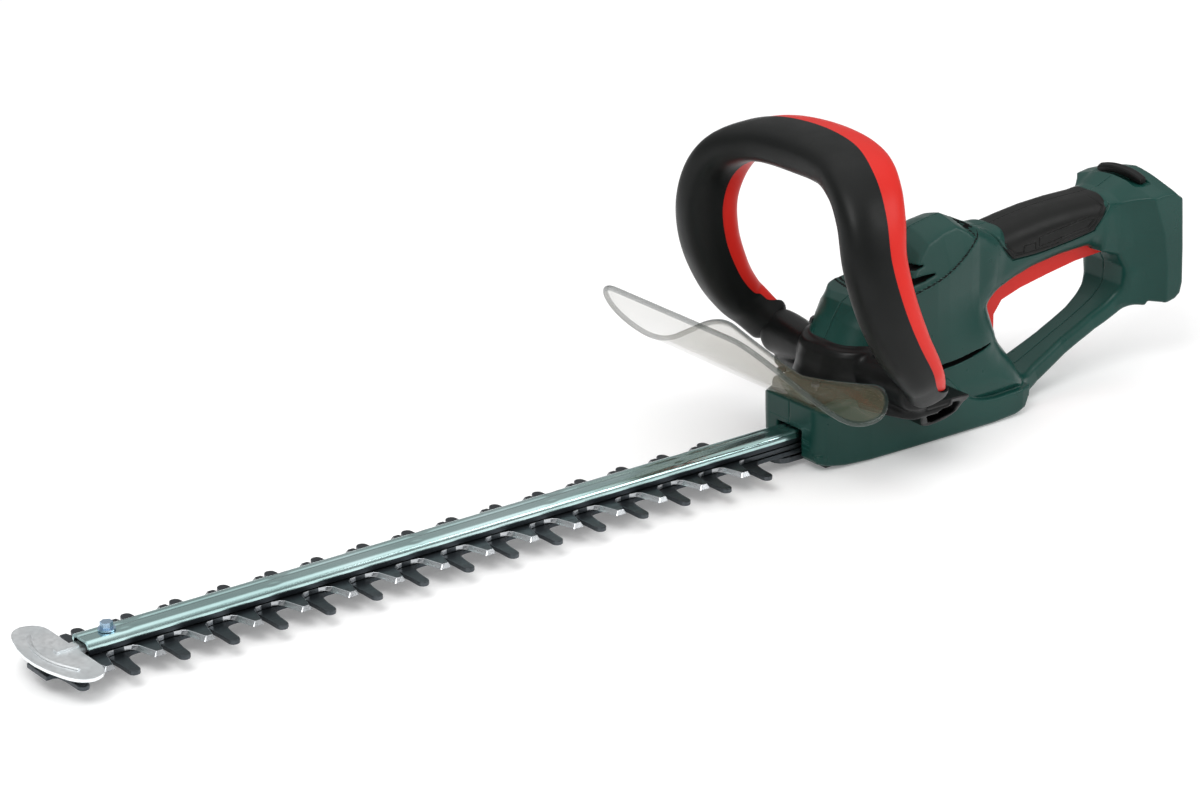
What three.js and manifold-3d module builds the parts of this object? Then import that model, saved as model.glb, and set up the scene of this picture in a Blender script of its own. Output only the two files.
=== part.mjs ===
// A cordless hedge trimmer, in millimetres. The origin is on the crank's axis, at the body's flat underside.
// The cutter bar runs along -X, the battery bay is at +X, +Z is up, and the user's left hand side is -Y.
import * as THREE from "three";
import { ParametricGeometry } from "three/addons/geometries/ParametricGeometry.js";
import { mergeVertices } from "three/addons/utils/BufferGeometryUtils.js";
import Module from "manifold-3d";

const wasm = await Module();
wasm.setup();

// ---- driving dimensions -------------------------------------------------------------------------------
const GAP = 0.3; // between pieces that touch
const WALL = 3; // moulded housing wall

const PITCH = 34; // from tooth to tooth
const TEETH = 16; // on each side of the comb; the knife has one fewer
const FIRST_TOOTH_X = -100; // comb tooth nearest the body
const LAST_TOOTH_X = FIRST_TOOTH_X - PITCH * (TEETH - 1);
const PLATE = 3; // comb and knife thickness
const COMB_Z = 10; // underside of the comb
const COMB_HALF = 12;
const COMB_REACH = 38; // tip of a comb tooth from the centre line
const COMB_REAR_X = 34;
const KNIFE_Z = COMB_Z + PLATE + GAP;
const KNIFE_HALF = 10.5;
const KNIFE_REACH = 29;
const KNIFE_LEAD = -13; // knife teeth at rest, from the comb teeth
const STROKE = 18;
const SLOT_HALF = STROKE / 2 + 4; // half length of the knife's guide slots
const RAIL_Z = 17;
const RAIL_HEIGHT = 8;
const RAIL_HALF = 10;
const RAIL_SHEET = 1.8;
const RAIL_FRONT_X = -592;
const RAIL_REAR_X = -26;
const SCREW_XS = [-470, -366, -262, -158, -56];
const TIP_BOLT_X = -574;

const GEAR_TEETH = 58;
const PINION_TEETH = 9;
const MODULE = 1;
const BACKLASH = 0.3; // added to the distance between the two axes
const MOTOR_X = (MODULE * (GEAR_TEETH + PINION_TEETH)) / 2 + BACKLASH;
const GEAR_Z = 30.5;
const GEAR_WIDTH = 7;
const THROW = STROKE / 2;
const PIN_REST_X = 4; // crank pin's place along the stroke at rest
const MOTOR_RADIUS = 18;
const MOTOR_Z = 50;
const MOTOR_HEIGHT = 54;
const PLATE_Z = 42; // gearbox plate under the motor

const BAIL_SPLIT = 3.6; // behind the section's middle: the black shell ends here and the red bar shows
const BAIL_LIP = 1.5; // shell wall at the sides of the bar
const BAIL_FOOT_Z = 46;

const GUARD_SHEET = 3;
const GUARD_HALF = 104;

const TRIGGER_THICK = 15;
const TRIGGER_LIFT = 12; // free height above the trigger, for its swing
const TRIGGER_HALF = 6;
const TRIGGER_PIVOT = [226, 101];

// ---- solids -------------------------------------------------------------------------------------------
function solid(geometry) {
  const plain = geometry.index ? geometry.toNonIndexed() : geometry.clone();
  plain.deleteAttribute("normal");
  plain.deleteAttribute("uv");
  const merged = mergeVertices(plain, 1e-4);
  const index = merged.index.array;
  const triangles = [];
  for (let i = 0; i < index.length; i += 3) {
    const [a, b, c] = [index[i], index[i + 1], index[i + 2]];
    if (a !== b && b !== c && c !== a) triangles.push(a, b, c);
  }
  const build = (triVerts) =>
    new wasm.Manifold(
      new wasm.Mesh({
        numProp: 3,
        vertProperties: merged.attributes.position.array,
        triVerts: new Uint32Array(triVerts),
      }),
    );
  const made = build(triangles);
  return made.volume() > 0 ? made : build(triangles.reverse());
}

function geometryOf(made) {
  const mesh = made.getMesh();
  const geometry = new THREE.BufferGeometry();
  geometry.setAttribute("position", new THREE.BufferAttribute(mesh.vertProperties, 3));
  geometry.setIndex(new THREE.BufferAttribute(mesh.triVerts, 1));
  geometry.computeVertexNormals();
  return geometry;
}

const join = (...parts) => parts.reduce((whole, part) => whole.add(part));
const cut = (whole, ...parts) => parts.reduce((rest, part) => rest.subtract(part), whole);

function box(x0, x1, y0, y1, z0, z1) {
  const geometry = new THREE.BoxGeometry(x1 - x0, y1 - y0, z1 - z0);
  return solid(geometry.translate((x0 + x1) / 2, (y0 + y1) / 2, (z0 + z1) / 2));
}

// A round bar along Z.
function bar(x, y, z0, z1, radius, sides = 20) {
  const geometry = new THREE.CylinderGeometry(radius, radius, z1 - z0, sides);
  return solid(geometry.rotateX(Math.PI / 2).translate(x, y, (z0 + z1) / 2));
}

// A round bar along Y.
function crossBar(x, z, y0, y1, radius, sides = 16) {
  const geometry = new THREE.CylinderGeometry(radius, radius, y1 - y0, sides);
  return solid(geometry.translate(x, (y0 + y1) / 2, z));
}

const shapeOf = (points) => new THREE.Shape(points.map(([u, v]) => new THREE.Vector2(u, v)));

// A plan outline in X and Y, raised from z0 to z1.
function plate(shape, z0, z1, curveSegments = 6) {
  const geometry = new THREE.ExtrudeGeometry(shape, { depth: z1 - z0, bevelEnabled: false, curveSegments });
  return solid(geometry.translate(0, 0, z0));
}

// A side outline in X and Z, from y0 to y1.
function profile(shape, y0, y1, curveSegments = 6) {
  const geometry = new THREE.ExtrudeGeometry(shape, { depth: y1 - y0, bevelEnabled: false, curveSegments });
  return solid(geometry.rotateX(Math.PI / 2).translate(0, y1, 0));
}

// A closed skin through oval sections. Each station gives place(u, v, target) for u and v from -1 to 1.
function loft(stations, power = 4, sides = 20) {
  const rows = stations.length + 1;
  const skin = (around, along, target) => {
    const row = Math.round(along * rows);
    const station = stations[Math.min(Math.max(row - 1, 0), stations.length - 1)];
    const closing = row === 0 || row === rows;
    const angle = (Math.round(around * sides) % sides) * ((2 * Math.PI) / sides) + Math.PI / sides;
    const swell = (wave) => Math.sign(wave) * Math.pow(Math.abs(wave), 2 / power);
    const u = closing ? 0 : swell(Math.cos(angle));
    const v = closing ? 0 : swell(Math.sin(angle));
    station(u, v, target);
  };
  return solid(new ParametricGeometry(skin, sides, rows));
}

// Sections across X: [x, half width, lowest z, highest z].
const acrossX = (list, grow) =>
  list.map(([x, half, low, high], i) => (u, v, target) => {
    const end = i === 0 ? -1 : i === list.length - 1 ? 1 : 0;
    const z = (low + high) / 2 + v * ((high - low) / 2 + grow);
    return target.set(x + end * grow, u * (half + grow), z);
  });

// Sections across Z: [z, lowest x, highest x, half width].
const acrossZ = (list, grow) =>
  list.map(([z, low, high, half], i) => (u, v, target) => {
    const end = i === 0 ? -1 : i === list.length - 1 ? 1 : 0;
    const x = (low + high) / 2 + u * ((high - low) / 2 + grow);
    return target.set(x, v * (half + grow), z + end * grow);
  });

const group = new THREE.Group();
group.name = "hedge_trimmer";

function add(name, shape, finish) {
  const mesh = new THREE.Mesh(geometryOf(shape), finish);
  mesh.name = name;
  group.add(mesh);
}

const finishOf = (color, roughness, metalness = 0) =>
  new THREE.MeshStandardMaterial({ color, roughness, metalness });
const GREEN = finishOf(0x1f4a42, 0.5);
const BLACK = finishOf(0x2a2b2a, 0.6);
const RED = finishOf(0xd8322a, 0.45);
const RUBBER = finishOf(0x1c1d1c, 0.8);
const ZINC = finishOf(0xc9d6d8, 0.2, 1);
const GUNMETAL = finishOf(0x4a5055, 0.35, 1);
const STEEL = finishOf(0xb4b8ba, 0.3, 1);
const BRASS = finishOf(0xb08d4a, 0.35, 1);
const SMOKE = new THREE.MeshStandardMaterial({
  color: 0x6f716a,
  roughness: 0.1,
  transparent: true,
  opacity: 0.5,
});
const BOARD = finishOf(0x1d5a34, 0.6);

// ---- cutter bar ---------------------------------------------------------------------------------------
// A toothed plate: the outline runs along one edge of the bar and comes back along the other.
function toothedShape(half, frontX, rearX, count, tooth) {
  const edge = [];
  for (let i = 0; i < count; i += 1) {
    edge.push(...tooth(FIRST_TOOTH_X - PITCH * i));
  }
  const near = [[rearX, -half], ...edge.map(([x, y]) => [x, -y]), [frontX, -half]];
  const far = near.map(([x, y]) => [x, -y]).reverse();
  return shapeOf([...near, ...far]);
}

const guideSlot = (x) => box(x - SLOT_HALF, x + SLOT_HALF, -3, 3, KNIFE_Z - 1, KNIFE_Z + PLATE + 1);

const FINGER = 3.8; // half width of a comb tooth
const combTooth = (x) => [
  [x + 10, COMB_HALF],
  [x + FINGER + 1.2, 18],
  [x + FINGER, COMB_REACH - 3],
  [x, COMB_REACH],
  [x - FINGER, COMB_REACH - 3],
  [x - FINGER, COMB_HALF],
];

const knifeTooth = (x) => [
  [x + KNIFE_LEAD + 8, KNIFE_HALF],
  [x + KNIFE_LEAD + 3.8, KNIFE_REACH],
  [x + KNIFE_LEAD - 3.8, KNIFE_REACH],
  [x + KNIFE_LEAD - 9, KNIFE_HALF],
];

function addCutterBar() {
  const combFront = LAST_TOOTH_X - 12;
  const combShape = toothedShape(COMB_HALF, combFront, COMB_REAR_X, TEETH, combTooth);
  const comb = plate(combShape, COMB_Z, COMB_Z + PLATE);
  const screwPlaces = [TIP_BOLT_X, ...SCREW_XS];
  const screwHoles = screwPlaces.map((x) => bar(x, 0, COMB_Z - 1, COMB_Z + PLATE + 1, 2.4, 12));
  add("comb_blade", cut(comb, ...screwHoles), GUNMETAL);

  // The knife ends in a yoke, a cross slot that the crank pin drives.
  const knifeFront = LAST_TOOTH_X;
  const knifeTop = KNIFE_Z + PLATE;
  const knife = plate(toothedShape(KNIFE_HALF, knifeFront, 0, TEETH - 1, knifeTooth), KNIFE_Z, knifeTop);
  const yoke = box(PIN_REST_X - 14, PIN_REST_X + 14, -20, 20, KNIFE_Z, knifeTop);
  const yokeSlot = box(PIN_REST_X - 6, PIN_REST_X + 6, -15, 15, KNIFE_Z - 1, knifeTop + 1);
  const slots = [TIP_BOLT_X, ...SCREW_XS].map((x) => guideSlot(x + PIN_REST_X));
  add("knife_blade", cut(join(knife, yoke), yokeSlot, ...slots), GUNMETAL);

  // An upside down channel of plated sheet, with a hole for the bolt at its tip.
  const top = RAIL_Z + RAIL_HEIGHT;
  const channel = cut(
    box(RAIL_FRONT_X, RAIL_REAR_X, -RAIL_HALF, RAIL_HALF, RAIL_Z, top),
    box(
      RAIL_FRONT_X - 1,
      RAIL_REAR_X + 1,
      -RAIL_HALF + RAIL_SHEET,
      RAIL_HALF - RAIL_SHEET,
      RAIL_Z - 1,
      top - RAIL_SHEET,
    ),
    bar(TIP_BOLT_X, 0, top - 3, top + 1, 2.9, 12),
  );
  add("blade_rail", channel, ZINC);

  SCREW_XS.forEach((x, i) => {
    const shank = bar(x, 0, COMB_Z - 1, top - RAIL_SHEET - GAP, 2, 8);
    const head = bar(x, 0, COMB_Z - 2.6, COMB_Z - GAP, 5, 10);
    add(`blade_screw_${i + 1}`, join(shank, head), STEEL);
  });

  const tipHead = bar(TIP_BOLT_X, 0, top + 1.5, top + 5.5, 4, 6);
  const tipWasher = bar(TIP_BOLT_X, 0, top + GAP, top + 1.6, 5.5, 16);
  add("tip_bolt", join(bar(TIP_BOLT_X, 0, COMB_Z - 1, top + 2, 2, 10), tipHead, tipWasher), STEEL);
  const nutHole = bar(TIP_BOLT_X, 0, COMB_Z - 6, COMB_Z, 2.3, 12);
  add("tip_nut", cut(bar(TIP_BOLT_X, 0, COMB_Z - 3.6, COMB_Z - GAP, 4.6, 6), nutHole), STEEL);
}

// The blunt nose: a crescent of sheet on a tongue held inside the rail.
function addTipGuard() {
  const z = 18.2;
  const crescent = new THREE.Shape();
  crescent.moveTo(-596, -32);
  crescent.quadraticCurveTo(-597, -44, -608, -45);
  crescent.quadraticCurveTo(-617, -44, -621, -30);
  crescent.quadraticCurveTo(-631, 0, -621, 30);
  crescent.quadraticCurveTo(-617, 44, -608, 45);
  crescent.quadraticCurveTo(-597, 44, -596, 32);
  crescent.lineTo(-596, -32);
  const tongue = box(-598, TIP_BOLT_X + 10, -7, 7, z, z + 2);
  const hole = bar(TIP_BOLT_X, 0, z - 1, z + 3, 2.9, 12);
  const ridge = new THREE.CatmullRomCurve3([
    new THREE.Vector3(-610, -30, z + 1.6),
    new THREE.Vector3(-616, -15, z + 1.6),
    new THREE.Vector3(-618, 0, z + 1.6),
    new THREE.Vector3(-616, 15, z + 1.6),
    new THREE.Vector3(-610, 30, z + 1.6),
  ]);
  const round = new THREE.Shape().absarc(0, 0, 1.6, 0, Math.PI * 2);
  const bead = new THREE.ExtrudeGeometry(round, { steps: 12, extrudePath: ridge, curveSegments: 4 });
  const rib = box(-609, -594, -2.2, 2.2, z + 1, z + 3.4);
  add("tip_guard", cut(join(plate(crescent, z, z + 2, 5), tongue, solid(bead), rib), hole), ZINC);
}

// ---- housing ------------------------------------------------------------------------------------------
const TUB = [
  [-53, 25, 6, 43],
  [-46, 30, 3, 45],
  [-38, 32, 0, 46],
  [-10, 34, 0, 48],
  [30, 36, 0, 48],
  [55, 36, 0, 43],
  [66, 36, 0, 32],
  [82, 36, 0, 24],
  [104, 35, 0, 20],
  [126, 33, 2, 19.5],
  [134, 30, 5, 18],
];
const TOWER = [
  [12, -40, 131, 32],
  [28, -38, 131, 32],
  [38, -37, 129, 31],
  [49, -35, 124, 31],
  [62, -33, 117, 30],
  [80, -25, 113, 29],
  [95, -15, 112, 29],
  [108, -3, 116, 28],
  [120, 12, 117, 26],
  [132, 27, 108, 22],
  [142, 42, 98, 16],
  [150, 62, 88, 7],
];
const GRIP = [
  [92, 24, 82, 128],
  [112, 21, 90, 130],
  [135, 20, 98, 135],
  [165, 20, 102, 139],
  [205, 21, 104, 138],
  [226, 24, 98, 138],
  [240, 28, 92, 141],
];
const BAY = [
  [214, 22, 97, 137],
  [226, 27, 92, 139],
  [234, 31, 85, 141],
  [241, 34, 58, 143],
  [250, 39, 52, 144],
  [262, 41, 52, 145],
  [275, 41, 64, 143],
];
// The strut under the hand: its centre line, half thickness and half width.
const STRUT = [
  [118, 9, 8, 26],
  [140, 12, 8, 20],
  [162, 19, 7, 15],
  [186, 30, 6.5, 14],
  [212, 42, 7, 15],
  [232, 53, 9, 20],
  [246, 66, 12, 24],
];
const STRUT_LEAN = Math.PI / 6;

const strutStations = (grow) =>
  STRUT.map(([x, z, thick, half]) => (u, v, target) => {
    const across = v * (thick + grow);
    const place = [x - across * Math.sin(STRUT_LEAN), u * (half + grow), z + across * Math.cos(STRUT_LEAN)];
    return target.set(...place);
  });

function body(grow) {
  return join(
    loft(acrossX(TUB, grow), 5, 24),
    loft(acrossZ(TOWER, grow), 3.2, 24),
    loft(acrossX(GRIP, grow), 3, 20),
    loft(strutStations(grow), 3, 16),
    loft(acrossX(BAY, grow), 6, 20),
  );
}

const BLADE_MOUTH = { half: 16, low: -2, high: 28.3 };
const BASE_COVER = { x0: -42, x1: 96, half: 25, thick: 3 };
const BAY_FLOOR_X = 256; // the battery's face
const LATCH_X = 246;
const RACE_HALF = TRIGGER_HALF + 1; // half width of the trigger's slot
const SCREWS = [
  [-40, 36],
  [-12, 84],
  [98, 120],
  [112, 26],
  [160, 18.5],
  [212, 122],
  [238, 68],
];

// The hand's opening side of the grip, where the trigger strip lies.
const triggerLine = [
  [124, 54],
  [124, 66],
  [131, 75],
  [148, 80],
  [174, 84.6],
  [200, 88.5],
  [229, 90.2],
];

function band(line, low, high) {
  const lower = line.map(([x, z], i) => offsetPoint(line, i, low));
  const upper = line.map(([x, z], i) => offsetPoint(line, i, high));
  return shapeOf([...lower, ...upper.reverse()]);
}

// The point at a line's place i, moved off to its left by the given distance.
function offsetPoint(line, i, distance) {
  const before = line[Math.max(i - 1, 0)];
  const after = line[Math.min(i + 1, line.length - 1)];
  const along = new THREE.Vector2(after[0] - before[0], after[1] - before[1]).normalize();
  return [line[i][0] - along.y * distance, line[i][1] + along.x * distance];
}

// Each screw runs across the body in a pillar, with its head sunk in the right hand shell.
const screwHeadY = ([x]) => (x < 100 ? 22 : 12);

function addHousing() {
  const outside = body(0);
  const inside = join(
    loft(acrossX(TUB, -WALL), 5, 16),
    loft(acrossZ(TOWER, -WALL), 3.2, 12),
    loft(acrossX(GRIP.map(([x, half, low, high]) => [x, half, low + WALL, high]), -WALL), 3, 12),
  );
  const [pivotX, pivotZ] = TRIGGER_PIVOT;
  const cheeks = crossBar(pivotX, pivotZ, -14, 14, 9, 12).intersect(outside);
  const pillars = SCREWS.map(([x, z]) => crossBar(x, z, -60, 60, 5, 10).intersect(outside));
  const mouth = BLADE_MOUTH;
  const cover = BASE_COVER;
  const bayRecess = join(
    box(BAY_FLOOR_X, 280, -36, 36, 40, 138),
    box(248, BAY_FLOOR_X + 1, -24, 24, 80, 126),
  );
  const openings = [
    box(-60, -44, -mouth.half, mouth.half, mouth.low, mouth.high),
    box(-60, -24, -10, 10, mouth.low, 10),
    box(cover.x0 - GAP, cover.x1 + GAP, -cover.half - GAP, cover.half + GAP, -2, cover.thick + GAP),
    profile(band(triggerLine, -4, TRIGGER_THICK + TRIGGER_LIFT), -RACE_HALF, RACE_HALF),
    crossBar(pivotX, pivotZ, -10.5, 12.5, 2.3, 12),
    crossBar(pivotX, pivotZ, -RACE_HALF, 10, 6.5, 12),
    box(LATCH_X - 9, LATCH_X + 5, -14, 14, 125, 150),
    ...ventSlits(),
    ...SCREWS.map(([x, z]) => crossBar(x, z, -14, 60, 2.2, 8)),
    ...SCREWS.map((place) => crossBar(place[0], place[1], screwHeadY(place), 60, 4.2, 10)),
  ];
  const rails = [-1, 1].map((side) => {
    const [y0, y1] = [30 * side, 38 * side].sort((a, b) => a - b);
    return box(266, 270, y0, y1, 66, 128).intersect(outside);
  });
  const shell = join(cut(join(cut(outside, inside), cheeks, ...pillars), bayRecess, ...openings), ...rails);
  add("housing_left", cut(shell, box(-100, 300, -GAP / 2, 80, -20, 200)), GREEN);
  add("housing_right", cut(shell, box(-100, 300, -80, GAP / 2, -20, 200)), GREEN);

  SCREWS.forEach((place, i) => {
    const [x, z] = place;
    const head = screwHeadY(place) + GAP;
    const screw = join(crossBar(x, z, -12, head + 1, 1.8, 8), crossBar(x, z, head, head + 2.6, 3.6, 8));
    add(`housing_screw_${i + 1}`, screw, STEEL);
  });

  const coverHoles = [-36, 90].map((x) => bar(x, 0, -1, cover.thick + 1, 2.3, 12));
  const coverPlate = box(cover.x0, cover.x1, -cover.half, cover.half, 0, cover.thick);
  add("base_cover", cut(coverPlate, ...coverHoles), BLACK);
}

// Three cooling slits on each flank of the motor dome.
function ventSlits() {
  return [0, 1, 2].map((i) => {
    const x = 32 + i * 6;
    const z = 122 - i * 5;
    const slit = box(x - 12, x + 12, -40, 40, z - 1, z + 1);
    return cut(slit, box(0, 80, -15, 15, 90, 140)).add(box(x - 2, x + 2, -15.1, 15.1, z - 1, z + 1));
  });
}

// ---- drive --------------------------------------------------------------------------------------------
function gearShape(teeth, turn) {
  const radius = (MODULE * teeth) / 2;
  const corners = [
    [-0.32, -1.25],
    [-0.17, 0.85],
    [0.17, 0.85],
    [0.32, -1.25],
  ];
  const points = [];
  for (let tooth = 0; tooth < teeth; tooth += 1) {
    for (const [share, lift] of corners) {
      const angle = turn + ((tooth + share) * 2 * Math.PI) / teeth;
      const reach = radius + lift * MODULE;
      points.push([reach * Math.cos(angle), reach * Math.sin(angle)]);
    }
  }
  return shapeOf(points);
}

function addDrive() {
  const gearTop = GEAR_Z + GEAR_WIDTH;
  // A gear tooth points at the motor, and a gap of the pinion faces it.
  const gear = plate(gearShape(GEAR_TEETH, 0), GEAR_Z, gearTop);
  add("drive_gear", cut(gear, bar(0, 0, GEAR_Z - 1, gearTop + 1, 4.3, 16)), STEEL);

  const pinionTurn = Math.PI + Math.PI / PINION_TEETH;
  const pinion = plate(gearShape(PINION_TEETH, pinionTurn), GEAR_Z, gearTop);
  const pinionBore = bar(0, 0, GEAR_Z - 1, gearTop + 1, 1.9, 12);
  add("motor_pinion", cut(pinion, pinionBore).translate([MOTOR_X, 0, 0]), STEEL);

  const pinY = Math.sqrt(THROW ** 2 - PIN_REST_X ** 2);
  const pinBottom = KNIFE_Z + PLATE + 0.5; // the pin is stopped just above the yoke that it drives
  const crank = join(
    bar(0, 0, GEAR_Z - 4, 49, 4, 16),
    bar(0, 0, GEAR_Z - 7, GEAR_Z - GAP, 15, 24),
    bar(PIN_REST_X, pinY, pinBottom, GEAR_Z - 6, 4.5, 16),
  );
  add("crank_shaft", crank, STEEL);

  const race = cut(bar(0, 0, 40.5, 47.5, 11, 20), bar(0, 0, 40, 48, 4.3, 16));
  add("crank_bearing", race, STEEL);

  const bracket = cut(
    box(-12, 62, -22, 22, PLATE_Z, PLATE_Z + 3),
    bar(0, 0, PLATE_Z - 1, PLATE_Z + 4, 11.3, 20),
    bar(MOTOR_X, 0, PLATE_Z - 1, PLATE_Z + 4, 7, 16),
  );
  add("gearbox_plate", bracket, STEEL);

  const canTop = MOTOR_Z + MOTOR_HEIGHT;
  const can = cut(
    bar(MOTOR_X, 0, MOTOR_Z, canTop, MOTOR_RADIUS, 24),
    bar(MOTOR_X, 0, MOTOR_Z + 3, canTop - 3, MOTOR_RADIUS - 2, 24),
    bar(MOTOR_X, 0, MOTOR_Z - 1, canTop + 1, 4, 12),
    box(MOTOR_X - 5, MOTOR_X + 5, -25, 25, MOTOR_Z + 10, MOTOR_Z + 18),
  );
  add("motor_can", can, STEEL);
  const rotor = join(
    bar(MOTOR_X, 0, GEAR_Z - 2, canTop + 12, 1.6, 12),
    bar(MOTOR_X, 0, MOTOR_Z + 8, canTop - 10, 14, 20),
  );
  add("motor_rotor", rotor, STEEL);
  add("motor_fan", fan(canTop + 2.5, 7), BLACK);
}

// A ring of straight blades round a hub.
function fan(z, height) {
  const disc = bar(0, 0, z, z + 1.5, 16, 20);
  const hub = bar(0, 0, z, z + height, 4.5, 12);
  const blades = [];
  for (let i = 0; i < 7; i += 1) {
    const blade = box(4, 15.5, -0.7, 0.7, z + 1, z + height);
    blades.push(blade.rotate([0, 0, (i * 360) / 7]));
  }
  const bore = bar(0, 0, z - 1, z + height + 1, 1.9, 12);
  return cut(join(disc, hub, ...blades), bore).translate([MOTOR_X, 0, 0]);
}

// The block under the comb, with a nose in front of the body, and the wiper round the bar.
function addBladeSupport() {
  const [low, high] = [BASE_COVER.thick + GAP + 0.1, COMB_Z - 3];
  const block = join(box(-60, 30, -9, 9, low, high), bar(-60, 0, low, high, 9, 16));
  add("blade_support", block, BRASS);
  const half = BLADE_MOUTH.half - GAP;
  const top = BLADE_MOUTH.high - GAP;
  const wiper = cut(
    box(-50, -46, -half, half, 8, top),
    box(-51, -45, -COMB_HALF - 0.4, COMB_HALF + 0.4, 7, RAIL_Z + RAIL_HEIGHT + 0.4),
  );
  add("blade_wiper", wiper, RUBBER);
}

// ---- front bail handle --------------------------------------------------------------------------------
// One side of the bail, from its top to its foot: [x, y, z, depth along X, thickness].
const BAIL_HALF_LINE = [
  [-31, 0, 214.7, 56, 31],
  [-34.9, 37.4, 213.4, 54, 29],
  [-44, 62.8, 205.6, 51.7, 27],
  [-50.6, 78.2, 189.2, 49, 27],
  [-54, 86.4, 164, 45, 29],
  [-48.4, 91.2, 134.6, 41, 32],
  [-36.4, 92.8, 107, 37, 33],
  [-23.4, 92, 88, 34, 31.5],
  [-14.6, 88.4, 78.2, 31, 30],
  [-6.2, 81.4, 67.6, 29, 29],
  [4.4, 69.8, 55.2, 28.2, 29],
  [23.1, 56, 43.3, 28, 29],
];
const BAIL_TAPER = [0.68, 0.9]; // the red bar runs out between these shares of the way down

// Sections along the bail. place gives [depth, height] for u and v, from the section's depth and thickness.
function bailStations(place) {
  const right = BAIL_HALF_LINE.map(([x, y, z]) => new THREE.Vector3(x, y, z));
  const left = right.slice(1).map((p) => new THREE.Vector3(p.x, -p.y, p.z));
  const line = new THREE.CatmullRomCurve3([...left.reverse(), ...right], false, "catmullrom", 0.5);
  const last = BAIL_HALF_LINE.length - 1;
  const steps = 6 * last;
  const stations = [];
  for (let i = 0; i <= steps; i += 1) {
    const middle = line.getPoint(i / steps);
    const along = line.getTangent(i / steps);
    const back = new THREE.Vector3(1, 0, 0).addScaledVector(along, -along.x).normalize();
    const rise = new THREE.Vector3().crossVectors(along, back);
    const share = Math.abs((2 * i) / steps - 1);
    const row = Math.min(last - 1, Math.floor(share * last));
    const [above, under] = [BAIL_HALF_LINE[row], BAIL_HALF_LINE[row + 1]];
    const size = (column) => THREE.MathUtils.lerp(above[column], under[column], share * last - row);
    const depth = size(3);
    const thick = size(4);
    stations.push((u, v, target) => {
      const [d, h] = place(u, v, depth, thick, share);
      return target.copy(middle).addScaledVector(back, d).addScaledVector(rise, h);
    });
  }
  return stations;
}

// The main body of a shape, without the slivers that a cut may leave at a tangent face.
const largest = (shape) => shape.decompose().reduce((a, b) => (b.volume() > a.volume() ? b : a));

// The oval bail, narrowed by a margin, and thinned further where its legs lean back.
const bailBody = (margin, thinned = 0) =>
  loft(
    bailStations((u, v, depth, thick, share) => {
      const less = margin + thinned * THREE.MathUtils.smoothstep(share, 0.5, 0.66);
      return [u * (depth / 2 - margin), v * (thick / 2 - less)];
    }),
    2.6,
    20,
  );

// All that lies behind the split, moved back by the given distance.
const bailRear = (shift) =>
  loft(
    bailStations((u, v, depth, thick, share) => {
      const runOut = THREE.MathUtils.smoothstep(share, ...BAIL_TAPER);
      const from = THREE.MathUtils.lerp(BAIL_SPLIT, depth / 2 + 8, runOut) + shift;
      return [from + ((u + 1) * (depth / 2 + 20 - from)) / 2, v * (thick / 2 + 3)];
    }),
    100,
    4,
  );

function addBail() {
  const below = box(-100, 100, -200, 200, -50, BAIL_FOOT_Z);
  const groove = bailBody(BAIL_LIP).intersect(bailRear(-7));
  const shell = cut(bailBody(0), bailRear(0), groove, below);
  add("bail_shell", largest(shell), BLACK);
  add("bail_switch_bar", largest(bailBody(BAIL_LIP + 0.4, 1.6).intersect(bailRear(-1.5))), RED);
  add("bail_leaf_spring", box(-33.9, -33.4, -5, 5, 212, 216), STEEL);
}

// The black saddle over the body: a front ledge for the guard, and a hollow foot under each end of the bail.
function addSaddle() {
  const clear = body(GAP);
  const half = [
    [-50, 0],
    [-50, 26],
    [-38, 40],
    [-14, 62],
    [-6, 74],
    [30, 72],
    [44, 52],
    [46, 0],
  ];
  const outline = [...half, ...half.slice(1, -1).map(([x, y]) => [x, -y]).reverse()];
  const top = plate(shapeOf(outline), 38, BAIL_FOOT_Z - GAP);
  const crown = plate(shapeOf([[-50, -30], [26, -30], [40, -44], [40, 44], [26, 30], [-50, 30]]), 40, 50);
  const ledge = box(-49, -40, -28, 28, 42, 53.8);
  const feet = [-1, 1].map((side) => {
    const stations = [
      [17, 22, 45, 46],
      [27, 12, 50, 55],
      [38, 0, 49, 68],
      [BAIL_FOOT_Z - GAP, -8, 43, 74],
    ].map(([z, low, high, reach]) => (u, v, target) => {
      const y = (30 + reach) / 2 + (v * (reach - 30)) / 2;
      return target.set((low + high) / 2 + (u * (high - low)) / 2, side * y, z);
    });
    const pocket = shapeOf([[14, 41], [38, 41], [46, 31], [44, 25.5], [33, 22], [25.5, 25]]);
    const opening = side > 0 ? profile(pocket, 41, 90) : profile(pocket, -90, -41);
    return cut(loft(stations, 5, 16), opening);
  });
  const ledgeHoles = [-18, 18].map((y) => bar(-45, y, 30, 60, 1.6, 8));
  add("bail_saddle", cut(join(top, crown, ledge, ...feet), clear, ...ledgeHoles), BLACK);

  const ring = loft(acrossZ(TOWER, 6), 3.2, 24).intersect(box(-60, 44, -60, 60, 57, 80));
  add("nose_collar", cut(ring, clear), BLACK);
}

// ---- hand guard ---------------------------------------------------------------------------------------
const GUARD = { lowX: -56, lowZ: 54.4, frontX: -152, rearX: -41, cornerY: 62, rearCornerY: 72 };

// Height of the sheet's middle: a scoop that climbs to the front, with ends that rise towards the rear.
function guardHeight(x, y) {
  const scoop = 0.05 * Math.pow(Math.abs(x - GUARD.lowX), 1.6);
  const rise = 0.007 * Math.max(0, x + 98) ** 2 * Math.pow(Math.abs(y) / 100, 1.2);
  return GUARD.lowZ + scoop + rise;
}

function guardEdges(y) {
  const round = (start) => {
    const share = Math.max(0, Math.abs(y) - start) / (GUARD_HALF - start);
    return Math.sqrt(Math.max(0, 1 - share * share));
  };
  return [-100 - 52 * round(GUARD.cornerY), -66 + 25 * round(GUARD.rearCornerY)];
}

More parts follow.
